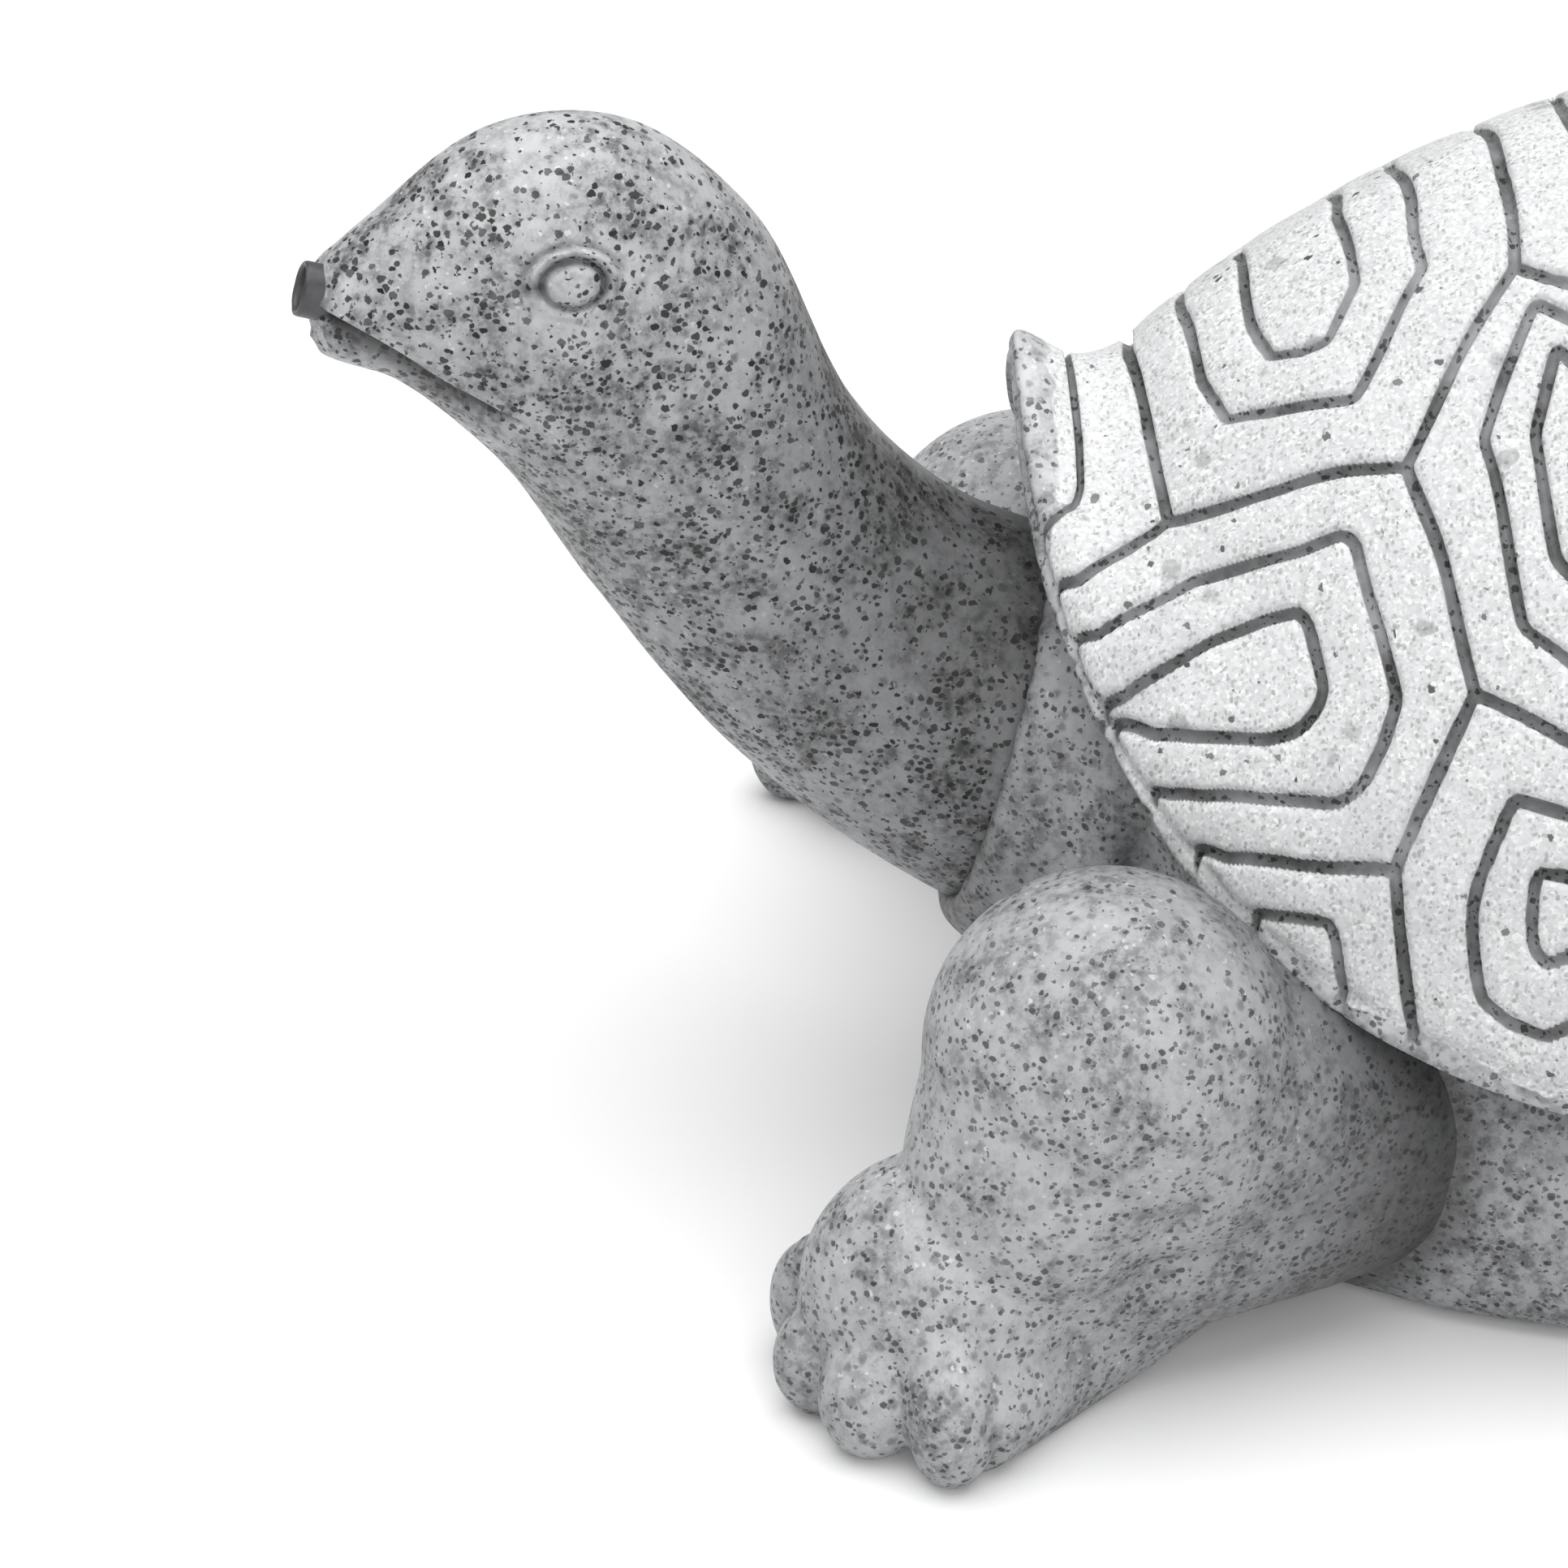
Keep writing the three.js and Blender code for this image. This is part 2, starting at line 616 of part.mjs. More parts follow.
// The carapace with its hollow filled down to the rim, for trimming what stands outside it
function shellVolume() {
  const [first, ...others] = OUTER_REACHES.map((reach) => (
    RIM_TURNS.map((turn) => outerPoint(turn, reach, CLEARANCE))));
  const vertices = [...first, outerPoint(0, 0, CLEARANCE)];
  const edge = RIM_TURNS.map((_, i) => i);
  const triangles = edge.map((i) => [edge.length, i, (i + 1) % edge.length]);
  const inside = (reach) => ringOf(SHELL_SEGMENTS, (turn) => (
    innerPoint(turn, 1)
      .multiply(new THREE.Vector3(reach, reach, 1))
      .sub(new THREE.Vector3(0, 0, CLEARANCE))));
  const rings = [
    ...others,
    RIM_TURNS.map((turn) => rimUnder(turn, CLEARANCE, CLEARANCE)),
    inside(1),
    inside(FILL_REACH),
  ];
  return closedBy({ vertices, triangles }, edge, rings, new THREE.Vector3(0, 0, FRONT_BASE_HEIGHT));
}

// Body

function bodyRing(z, halfWidth, halfLength) {
  return ringOf(BODY_SEGMENTS, (a) => {
    const p = planPoint(a, halfWidth, halfLength);
    return new THREE.Vector3(p.x, p.y, z);
  });
}

// The outside of the tub, grown by a clearance or shrunk by its wall
function tub(grow, floor) {
  const wide = [BELLY_WIDTH / 2 + grow, HALF_WIDTH - BODY_INSET + grow];
  const long = [BELLY_LENGTH / 2 + grow, HALF_LENGTH - BODY_INSET + grow];
  const above = SHELL_TOP + RIM_EDGE;
  return loft([
    bodyRing(floor, wide[0] - BELLY_EDGE, long[0] - BELLY_EDGE),
    bodyRing(floor + BELLY_EDGE, wide[0], long[0]),
    bodyRing(floor + BULGE_HEIGHT, wide[1] + BULGE, long[1] + BULGE),
    bodyRing(RIM_SIDE_HEIGHT, wide[1], long[1]),
    bodyRing(above, wide[1], long[1]),
  ]);
}

const REAR_OUTSIDE = Math.min(BELLY_LENGTH / 2, HALF_LENGTH - BODY_INSET + BULGE);
const SEAT = new THREE.Vector3(0, REAR_OUTSIDE - SEAT_DEPTH / 2, INLET_HEIGHT);
const INSIDE_SEAT = SEAT.y - BODY_WALL;
const BACKWARD = new THREE.Vector3(0, 1, 0);

function onInletAxis(y) {
  return new THREE.Vector3(0, y, INLET_HEIGHT);
}

function bodySolid() {
  const collar = loft(COLLAR.map(([along, spread]) => neckRing(along, spread)));
  const boss = rod(SEAT_DIAMETER + BODY_WALL, onInletAxis(INSIDE_SEAT), SEAT, BODY_SEGMENTS / 2);
  const spotFace = rod(SEAT_DIAMETER, SEAT, onInletAxis(REAR_OUTSIDE + 2 * BODY_INSET), BODY_SEGMENTS / 2);
  const holeDiameter = SHANK_DIAMETER + 2 * CLEARANCE;
  const inletHole = rod(
    holeDiameter, onInletAxis(INSIDE_SEAT - BODY_WALL), onInletAxis(REAR_OUTSIDE), BODY_SEGMENTS / 2);
  const cavity = tub(-BODY_WALL, FLOOR_THICKNESS);
  const cover = underShell();
  return tub(0, 0).intersect(cover)
    .add(collar.subtract(shellVolume()))
    .subtract(cavity)
    .add(boss.intersect(tub(0, 0)))
    .subtract(spotFace)
    .subtract(inletHole)
    .subtract(neckLoft(CLEARANCE, NECK_ROOT + PLUG_GAP))
    .subtract(hosePassage())
    .subtract(BELOW_GROUND);
}

// Head and neck

// A point that is given from the front edge of the rim
function fromRim([x, y, z]) {
  return new THREE.Vector3(x, y - HALF_LENGTH, z);
}

const topLine = new THREE.CatmullRomCurve3(PROFILE.map(({ top, half }) => fromRim([half, ...top])));
const bottomLine = new THREE.CatmullRomCurve3(PROFILE.map(({ bottom }) => fromRim([0, ...bottom])));

// The neck swings to the turtle's left between the turn's start and end, and the head runs on straight
function turnAt(y) {
  const ahead = y + HALF_LENGTH;
  const full = THREE.MathUtils.degToRad(HEAD_TURN);
  const share = THREE.MathUtils.clamp((TURN_START - ahead) / (TURN_START - TURN_END), 0, 1);
  const bend = 0.5 * Math.tan(full) * share ** 2 * (TURN_START - TURN_END);
  const straight = Math.tan(full) * Math.max(0, TURN_END - ahead);
  return { angle: full * share, offset: bend + straight };
}

function neckPoint(t, angle, grow) {
  const top = topLine.getPoint(t);
  const bottom = bottomLine.getPoint(t);
  const half = top.x + grow;
  top.setX(0);
  const centre = top.clone().add(bottom).multiplyScalar(0.5);
  const up = top.clone().sub(bottom);
  const halfHeight = up.length() / 2 + grow;
  const turn = turnAt(centre.y);
  const across = new THREE.Vector3(Math.cos(turn.angle), Math.sin(turn.angle), 0);
  return centre.setX(turn.offset)
    .addScaledVector(across, half * Math.sin(angle))
    .addScaledVector(up.normalize(), halfHeight * Math.cos(angle));
}

function neckRing(t, grow) {
  return ringOf(NECK_SEGMENTS, (angle) => neckPoint(t, angle, grow));
}

function neckLoft(grow, root = NECK_ROOT) {
  const rings = [];
  for (let i = 0; i < NECK_STATIONS; i++) rings.push(neckRing(NECK_ROOT * i / NECK_STATIONS, grow));
  return loft([...rings, neckRing(root, grow)]);
}

const SPOUT_FORWARD = new THREE.Vector3(0, -1, 0)
  .applyAxisAngle(new THREE.Vector3(-1, 0, 0), THREE.MathUtils.degToRad(SPOUT_PITCH))
  .applyAxisAngle(new THREE.Vector3(0, 0, 1), THREE.MathUtils.degToRad(SPOUT_YAW));
const SPOUT_INNER = fromRim(SPOUT_END).addScaledVector(SPOUT_FORWARD, -SPOUT_LENGTH);

// From the front of the muzzle back to the corner of the mouth, turned with the head
function mouthSlit() {
  const knots = MOUTH_LINE.map(([y, z]) => new THREE.Vector2(y - HALF_LENGTH, z));
  const line = new THREE.SplineCurve(knots).getPoints(12);
  const shape = new THREE.Shape([
    ...line.map((p, i) => new THREE.Vector2(p.x, p.y + MOUTH_GAP / 2 * (1 - i / line.length))),
    ...line.toReversed().map((p, i) => new THREE.Vector2(p.x, p.y - MOUTH_GAP / 2 * ((i + 1) / line.length))),
  ]);
  const geometry = new THREE.ExtrudeGeometry(shape, { depth: SHELL_WIDTH, bevelEnabled: false });
  const turnEnd = TURN_END - HALF_LENGTH;
  const { angle, offset } = turnAt(turnEnd);
  geometry.translate(-turnEnd, 0, -SHELL_WIDTH / 2);
  geometry.applyMatrix4(new THREE.Matrix4().makeBasis(
    new THREE.Vector3(-Math.tan(angle), 1, 0),
    new THREE.Vector3(0, 0, 1),
    new THREE.Vector3(Math.cos(angle), Math.sin(angle), 0)));
  geometry.translate(offset, turnEnd, 0);
  return solidOf(geometry).subtract(neckLoft(-MOUTH_DEPTH));
}

// The point on one side of the head that lies nearest to a place in its side view
function headSide([y, z], side) {
  const rows = 10 * NECK_STATIONS;
  let best = { miss: Infinity };
  for (let i = 0; i <= rows; i++) {
    for (let j = 1; j < rows; j++) {
      const point = neckPoint(i / rows, side * Math.PI * j / rows, 0);
      const across = (point.x - turnAt(point.y).offset) * Math.tan(turnAt(y).angle);
      const miss = Math.hypot(point.y - across - y, point.z - z);
      if (miss < best.miss) best = { miss, point };
    }
  }
  return best.point;
}

function eye(side) {
  const eyeY = EYE_PLACE.y - HALF_LENGTH;
  const place = headSide([eyeY, EYE_PLACE.z], side);
  const heading = turnAt(eyeY).angle;
  const ball = [EYE_STANDOUT, EYE_LENGTH / 2, EYE_HEIGHT / 2];
  const socket = [EYE_GROOVE, ball[1] + EYE_GROOVE, ball[2] + EYE_GROOVE];
  const arc = new THREE.EllipseCurve(0, 0, socket[1], socket[2] + BROW_RADIUS, 0.1 * Math.PI, 0.9 * Math.PI);
  const brow = new THREE.CatmullRomCurve3(arc.getPoints(6).map((p) => (
    new THREE.Vector3(0, p.x, p.y).applyAxisAngle(new THREE.Vector3(0, 0, 1), heading).add(place))));
  return {
    ball: ellipsoid(place.toArray(), ball, { heading, segments: 12, rows: 8 }),
    socket: ellipsoid(place.toArray(), socket, { heading, segments: 12, rows: 8 }),
    brow: tubeAlong(brow, 2 * BROW_RADIUS, 0, 6, 6),
  };
}

function headNeckSolid() {
  const beyondMouth = fromRim(SPOUT_END).addScaledVector(SPOUT_FORWARD, SPOUT_LENGTH);
  const spoutBore = rod(SPOUT_DIAMETER + 2 * CLEARANCE, SPOUT_INNER, beyondMouth, 16);
  let solid = neckLoft(0).subtract(mouthSlit());
  for (const side of [1, -1]) {
    const { ball, socket, brow } = eye(side);
    solid = solid.add(brow).subtract(socket).add(ball);
  }
  return solid.subtract(hosePassage()).subtract(spoutBore);
}

// Water way

function hoseRoute() {
  const inletEnd = INSIDE_SEAT - NUT_THICKNESS - INNER_BARB_LENGTH;
  const alongSpout = (distance) => SPOUT_INNER.clone().addScaledVector(SPOUT_FORWARD, distance);
  return new THREE.CatmullRomCurve3([
    alongSpout(HOSE_OVERLAP),
    alongSpout(HOSE_OVERLAP / 2),
    alongSpout(0),
    alongSpout(-HOSE_OVERLAP / 2),
    ...HOSE_IN_NECK.map(fromRim),
    ...HOSE_IN_BODY.map((bend) => new THREE.Vector3(...bend)),
    onInletAxis(inletEnd - HOSE_OVERLAP),
    onInletAxis(inletEnd),
    onInletAxis(inletEnd + HOSE_OVERLAP),
  ]);
}

// The way that the castings leave for the hose
function hosePassage() {
  return tubeAlong(hoseRoute(), HOSE_DIAMETER + 4 * CLEARANCE, 0, HOSE_STEPS, HOSE_SIDES);
}

function spoutSolid() {
  const [outer, inner] = [SPOUT_DIAMETER / 2, SPOUT_BORE / 2];
  const outline = [[0, inner], [0, outer], [SPOUT_LENGTH, outer], [SPOUT_LENGTH, inner], [0, inner]];
  return turned(outline, SPOUT_INNER, SPOUT_FORWARD, 20);
}

function hoseTailSolid() {
  const bore = INLET_BORE / 2;
  const shank = SHANK_DIAMETER / 2;
  const barb = SPOUT_DIAMETER / 2;
  const outerBarb = OUTER_BARB_DIAMETER / 2;
  const flangeInside = SEAT.y + WASHER_THICKNESS + 2 * CLEARANCE;
  const flangeOutside = flangeInside + FLANGE_THICKNESS;
  const threadEnd = INSIDE_SEAT - NUT_THICKNESS - CLEARANCE;
  const outline = [
    [threadEnd - INNER_BARB_LENGTH, bore],
    [threadEnd - INNER_BARB_LENGTH, barb],
    [threadEnd, barb],
    [threadEnd, shank],
    [flangeInside, shank],
    [flangeInside, FLANGE_DIAMETER / 2],
    [flangeOutside, FLANGE_DIAMETER / 2],
    [flangeOutside, outerBarb],
  ];
  const pitch = OUTER_BARB_LENGTH / BARB_COUNT;
  for (let i = 0; i < BARB_COUNT; i++) {
    outline.push([flangeOutside + i * pitch + 1, outerBarb + BARB_STEP]);
    outline.push([flangeOutside + (i + 1) * pitch, outerBarb - BARB_STEP]);
  }
  outline.push([flangeOutside + OUTER_BARB_LENGTH, bore]);
  outline.push([threadEnd - INNER_BARB_LENGTH, bore]);
  return turned(outline, onInletAxis(0), BACKWARD, 20);
}

function washerSolid() {
  const [inner, outer] = [SHANK_DIAMETER / 2 + CLEARANCE, FLANGE_DIAMETER / 2 + 1];
  const outline = [[0, inner], [0, outer], [WASHER_THICKNESS, outer], [WASHER_THICKNESS, inner], [0, inner]];
  return turned(outline, onInletAxis(SEAT.y + CLEARANCE), BACKWARD, 24);
}

function lockNutSolid() {
  const hexagon = new THREE.Shape(Array.from({ length: 6 }, (_, i) => new THREE.Vector2(
    NUT_ACROSS_FLATS / Math.sqrt(3) * Math.cos(i * Math.PI / 3),
    NUT_ACROSS_FLATS / Math.sqrt(3) * Math.sin(i * Math.PI / 3))));
  hexagon.holes.push(new THREE.Path().absarc(0, 0, SHANK_DIAMETER / 2 + CLEARANCE, 0, 2 * Math.PI, true));
  const geometry = new THREE.ExtrudeGeometry(hexagon, {
    depth: NUT_THICKNESS, bevelEnabled: false, curveSegments: 10 });
  geometry.rotateX(Math.PI / 2);
  geometry.translate(0, INSIDE_SEAT - CLEARANCE, INLET_HEIGHT);
  return solidOf(geometry);
}

function hoseClipSolid() {
  const inner = HOSE_DIAMETER / 2 + CLEARANCE;
  const outer = inner + CLIP_THICKNESS;
  const start = INSIDE_SEAT - NUT_THICKNESS - INNER_BARB_LENGTH + (HOSE_OVERLAP - CLIP_WIDTH) / 2;
  const outline = [[0, inner], [0, outer], [CLIP_WIDTH, outer], [CLIP_WIDTH, inner], [0, inner]];
  const band = turned(outline, onInletAxis(start), BACKWARD, 24);
  const ear = slab(
    [-CLIP_EAR / 2, start, INLET_HEIGHT + inner + CLIP_THICKNESS / 2],
    [CLIP_EAR / 2, start + CLIP_WIDTH, INLET_HEIGHT + outer + CLIP_EAR]);
  return band.add(ear);
}

// Limbs

function limbLoft(stations) {
  const spine = new THREE.CatmullRomCurve3(stations.map(({ at }) => new THREE.Vector3(...at)));
  const halves = new THREE.CatmullRomCurve3(stations.map(({ half }) => new THREE.Vector3(...half, 0)));
  const rings = [];
  const count = 2 * (stations.length - 1);
  for (let i = 0; i <= count; i++) {
    const centre = spine.getPoint(i / count);
    const half = halves.getPoint(i / count);
    const along = spine.getTangent(i / count);
    const across = along.clone().cross(new THREE.Vector3(0, 0, 1)).normalize();
    const up = across.clone().cross(along);
    rings.push(ringOf(LIMB_SEGMENTS, (a) => centre.clone()
      .addScaledVector(across, half.x * Math.sin(a))
      .addScaledVector(up, half.y * Math.cos(a))));
  }
  return loft(rings);
}

function toeCentre(leg, [degrees, reach]) {
  const turn = THREE.MathUtils.degToRad(degrees);
  const distance = reach - leg.toeHalf[0];
  const [x, y] = leg.foot;
  return [x + distance * Math.sin(turn), y - distance * Math.cos(turn), leg.toeHeight];
}

function toe(leg, mirror, place) {
  const turn = THREE.MathUtils.degToRad(place[0]);
  const [ahead] = mirror([Math.sin(turn), 0, 0]);
  const heading = Math.atan2(-Math.cos(turn), ahead);
  return ellipsoid(mirror(toeCentre(leg, place)), leg.toeHalf, { heading, segments: 8, rows: 5 });
}

function legSolid(leg, side) {
  const mirror = ([x, y, z]) => [side * x, y, z];
  const root = { at: mirror(leg.root), half: leg.rootHalf };
  const ball = [leg.shoulderRadius, leg.shoulderRadius];
  const upperArm = limbLoft([root, { at: mirror(leg.shoulder), half: ball }]);
  const shoulder = ellipsoid(mirror(leg.shoulder), [...ball, leg.shoulderRadius], { segments: 15, rows: 8 });
  const paddle = limbLoft([
    root,
    { at: mirror(leg.heel), half: leg.heelHalf },
    { at: mirror(leg.foot), half: leg.footHalf.slice(1).map((half) => half * PADDLE_SHARE) },
  ]);
  const foot = ellipsoid(mirror(leg.foot), leg.footHalf, { segments: 12, rows: 7 });
  const forearm = limbLoft([
    { at: mirror(leg.shoulder), half: ball },
    { at: mirror(leg.ankle), half: [leg.ankleRadius, leg.ankleRadius] },
    { at: mirror(leg.foot), half: [leg.ankleRadius / 2, leg.ankleRadius / 2] },
  ]);
  const sole = limbLoft([
    { at: mirror(toeCentre(leg, leg.toes.at(-1))), half: [leg.toeHalf[1], leg.toeHalf[2] / 2] },
    { at: mirror(leg.sole), half: leg.soleHalf },
    { at: mirror(leg.heel), half: leg.heelHalf.map((half) => half * SOLE_SHARE) },
  ]);
  let solid = upperArm.add(shoulder).add(paddle).add(forearm).add(foot).add(sole);
  for (const place of leg.toes) solid = solid.add(toe(leg, mirror, place));
  return solid
    .subtract(tub(CLEARANCE, -CLEARANCE))
    .subtract(shellVolume())
    .subtract(neckLoft(CLEARANCE))
    .subtract(BELOW_GROUND);
}

function tailSolid() {
  const loftStations = TAIL.map(({ y, z, radius }) => ({ at: [0, y, z], half: [radius, radius] }));
  return limbLoft(loftStations).subtract(tub(CLEARANCE, -CLEARANCE)).subtract(shellVolume());
}

// Finishes

const granite = { color: 0x85868a, roughness: 0.55, metalness: 0 };
const sandedGranite = { color: 0xd9dadb, roughness: 0.7, metalness: 0 };
const blackPlastic = { color: 0x2c2d2f, roughness: 0.45, metalness: 0 };
const darkTube = { color: 0x3a3b3d, roughness: 0.5, metalness: 0 };
const rubber = { color: 0x1f1f20, roughness: 0.8, metalness: 0 };
const steel = { color: 0xb9bcc0, roughness: 0.35, metalness: 1 };

function meshOf(name, solid, finish) {
  const { vertProperties, triVerts } = solid.getMesh();
  const geometry = new THREE.BufferGeometry();
  geometry.setAttribute('position', new THREE.BufferAttribute(vertProperties, 3));
  geometry.setIndex(new THREE.BufferAttribute(triVerts, 1));
  geometry.computeVertexNormals();
  const mesh = new THREE.Mesh(geometry, new THREE.MeshStandardMaterial(finish));
  mesh.name = name;
  return mesh;
}

const turtle = new THREE.Group();
turtle.name = 'turtle_water_spitter';
turtle.add(
  meshOf('carapace', carapaceSolid(), sandedGranite),
  meshOf('body', bodySolid(), granite),
  meshOf('head_neck', headNeckSolid(), granite),
  meshOf('front_left_leg', legSolid(FRONT_LEG, 1), granite),
  meshOf('front_right_leg', legSolid(FRONT_RIGHT_LEG, -1), granite),
  meshOf('rear_left_leg', legSolid(REAR_LEG, 1), granite),
  meshOf('rear_right_leg', legSolid(REAR_LEG, -1), granite),
  meshOf('tail', tailSolid(), granite),
  meshOf('spout_tube', spoutSolid(), darkTube),
  meshOf('water_hose', tubeAlong(hoseRoute(), HOSE_DIAMETER, HOSE_BORE, HOSE_STEPS, HOSE_SIDES), rubber),
  meshOf('hose_clip', hoseClipSolid(), steel),
  meshOf('hose_tail', hoseTailSolid(), blackPlastic),
  meshOf('inlet_washer', washerSolid(), rubber),
  meshOf('inlet_lock_nut', lockNutSolid(), blackPlastic),
);

// Origin under the middle of the whole object
const bounds = new THREE.Box3().setFromObject(turtle);
turtle.position.set(
  -(bounds.min.x + bounds.max.x) / 2, -(bounds.min.y + bounds.max.y) / 2, -bounds.min.z);

export default turtle;
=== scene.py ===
"""Turtle water spitter in granite-look resin: visual model, studio and camera."""

import math

import bmesh
import bpy
import numpy as np
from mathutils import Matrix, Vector, kdtree, noise

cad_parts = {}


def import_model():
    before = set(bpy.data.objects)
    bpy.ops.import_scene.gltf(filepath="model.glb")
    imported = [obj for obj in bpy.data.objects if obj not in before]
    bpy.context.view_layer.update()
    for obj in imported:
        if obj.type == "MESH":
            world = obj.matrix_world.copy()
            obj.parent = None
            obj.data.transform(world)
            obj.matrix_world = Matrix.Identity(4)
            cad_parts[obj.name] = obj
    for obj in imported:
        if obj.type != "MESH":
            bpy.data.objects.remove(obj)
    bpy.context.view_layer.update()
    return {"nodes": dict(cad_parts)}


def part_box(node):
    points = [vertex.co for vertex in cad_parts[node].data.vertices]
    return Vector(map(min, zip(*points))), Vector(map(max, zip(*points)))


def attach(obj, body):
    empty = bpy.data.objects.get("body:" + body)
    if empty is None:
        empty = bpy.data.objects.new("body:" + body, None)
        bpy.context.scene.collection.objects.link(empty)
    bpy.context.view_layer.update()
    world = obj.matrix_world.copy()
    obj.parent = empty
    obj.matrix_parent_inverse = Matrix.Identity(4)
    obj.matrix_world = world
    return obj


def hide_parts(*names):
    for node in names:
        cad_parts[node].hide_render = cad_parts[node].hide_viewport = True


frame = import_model()
nodes = frame["nodes"]
scene = bpy.context.scene

MM = 0.001
shell_low, shell_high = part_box("carapace")
SHELL_MIDDLE = 0.5 * (shell_low[1] + shell_high[1])

# Carapace, in millimetres from the middle of the shell, with powers and shares of its own curves
HALF_WIDTH = 112.0
HALF_LENGTH = 139.5
SHELL_TOP = 197.0
SHELL_WALL = 9.0
PLAN_POWER = 2.4
CROWN_POWER = 1.6
FLANK_POWER = 0.64
RIM_SIDE = 49.0
RIM_EDGE = 5.0
FRONT_BASE, FRONT_FLARE = 107.0, 34.0
REAR_BASE, REAR_FLARE = 74.0, 10.0
BRIM_WIDTH = 22.0
BRIM_POWER = 1.9
PEAK_ROUNDING = 0.08
CROWN_DIP = 0.2
SHELL_SWELL = 0.35
SHELL_COLUMNS, SHELL_ROWS = 1150, 250
OUTLINE_SAMPLES = 6000
SHOULDER_TURN = 0.6

# Carved lines: their section, the widths of the rings inside the scutes, and how points become a line
GROOVE_DEPTH = 1.9
GROOVE_HALF = 1.1
RING_WIDTH = 0.94
NUCHAL_RING_WIDTH = 0.62
LINE_STEP = 0.12
LINE_ROUNDING = 90
OPEN_REACH = 0.98
WOBBLE_SLOW, WOBBLE_FAST = 0.45, 0.3
STEADY_REACH, FREE_REACH = 0.93, 0.75
SINK_DEPTH, SINK_REACH = 0.25, 3.2

# Rim: the wear of its top edge, the unsanded strip, and where strip and thin part fade in and out,
# as shares of the half width
WEAR_DEPTH, WEAR_REACH = 0.9, 1.6
WEAR_INWARD, WEAR_DOWN = 0.9, 0.25
FRONT_BARE, SHOULDER_BARE, FLANK_BARE, PATCH_BARE = 6.0, -6.0, -0.4, 8.0
FRONT_FADE, FLANK_FADE = (0.35, 0.29), (0.66, 0.76)
THIN_START, THIN_END = (0.3, 0.4), (0.68, 0.58)
THINNING = 0.5
# Rings down the rim's edge: share of the way down, how far out, the share of a groove's notch there,
# how strongly the groove is painted there, and the depth below the top edge
EDGE_RINGS = (
    (0.25, 0.3, 1.0, 0.7, 1.3),
    (0.55, 0.3, 0.7, 0.4, 2.7),
    (0.85, 0.05, 0.4, 0.1, 4.2),
    (1.0, -1.2, 0.0, 0.0, 6.0),
)
EDGE_NOTCH = 0.8
EDGE_DROP = 0.1
INSIDE_REACHES = (1.0, 0.97, 0.92, 0.84, 0.7, 0.5, 0.25)

# Head and neck in side view: top, bottom, half width
PROFILE = [
    ((-257.8, 167.2), (-258.2, 157.0), 5.0),
    ((-256.1, 169.4), (-256.4, 154.0), 8.5),
    ((-246.4, 177.1), (-245.0, 148.6), 14.5),
    ((-226.2, 190.5), (-227.7, 131.2), 22.5),
    ((-204.6, 190.2), (-213.3, 107.6), 25.5),
    ((-183.5, 172.3), (-202.2, 90.0), 26.5),
    ((-166.8, 137.4), (-189.4, 73.6), 26.5),
    ((-148.3, 117.8), (-168.0, 54.2), 27.5),
    ((-126.5, 108.6), (-143.2, 39.0), 29.0),
    ((-110.0, 105.0), (-122.0, 36.0), 29.0),
]
NECK_ROOT = 0.955
# Bands of rings from the muzzle to the root: where each starts and ends, as shares, and its number of rings
NECK_BANDS = ((0, 0.1, 40), (0.1, 0.52, 260), (0.52, NECK_ROOT, 90))
NECK_COLUMNS = 420
HEAD_TURN = math.radians(12.5)
TURN_START, TURN_END = -150.0, -200.0
MOUTH_LINE = [
    (-260.5, 165.5), (-254.9, 163.3), (-246.8, 158.5), (-239.1, 152.8), (-231.5, 148.1), (-225.3, 145),
]
MOUTH_DEPTH, LIP_CUT = 1.9, 0.8
RESIDUE_START, RESIDUE_FULL = -252.5, -257.0
EYE_PLACE = (-219.0, 170.5)
EYE_HALF = (4.8, 3.6)
EYE_BULGE = 2.3
EYE_OFF_MIDDLE = 5
EYE_FADE = (16, 12)
# Rings round the eye: where and how wide, in eye radii
EYE_GROOVE, UPPER_LID, LID_FOLD, LOWER_LID = (1.12, 0.12), (1.46, 0.17), (1.8, 0.13), (1.45, 0.2)
SPOUT_END = np.array([19.5, -260.0, 166.0])
SPOUT_YAW, SPOUT_PITCH = math.radians(9), math.radians(17)
SPOUT_LENGTH = 40.0
SPOUT_RADIUS, SPOUT_BORE = 4.75, 3.75
SPOUT_COLUMNS = 72

# Legs: places of the left side, half sizes, and for each toe its heading, its reach and its form,
# which is half the width at the root, half the width at the tip, and an extra lift
FRONT_LEG = {
    "root": (54, -73, 29), "root_half": (30, 27),
    "shoulder": (95, -128, 60), "shoulder_radius": 30.5, "upper_arm": ((95, -128, 54), (30, 29)),
    "heel": (83, -106, 32), "heel_half": (24, 25),
    "ankle": (103, -144, 35), "ankle_radius": 21,
    "foot": (104, -155, 20), "foot_half": (21, 24, 25),
    "sole": (104, -139, 11), "sole_half": (13, 15), "sole_tip": (11, 10),
    "toe_forms": ((8.5, 6.6, 3), (8.5, 6.6, 0), (10, 8.8, 0), (11.5, 6.8, 0)), "toe_height": 12.5,
    "toes": ((-31, 32), (8, 28.5), (50, 28), (90, 32.5)),
    "voxel": 0.75, "smoothing": 14,
}
FRONT_RIGHT_LEG = {
    **FRONT_LEG,
    "ankle": (109, -141, 35), "foot": (113, -151, 20), "sole": (109, -136, 11),
    "toes": ((10, 31), (34, 29.5), (58, 28), (88, 26)),
}
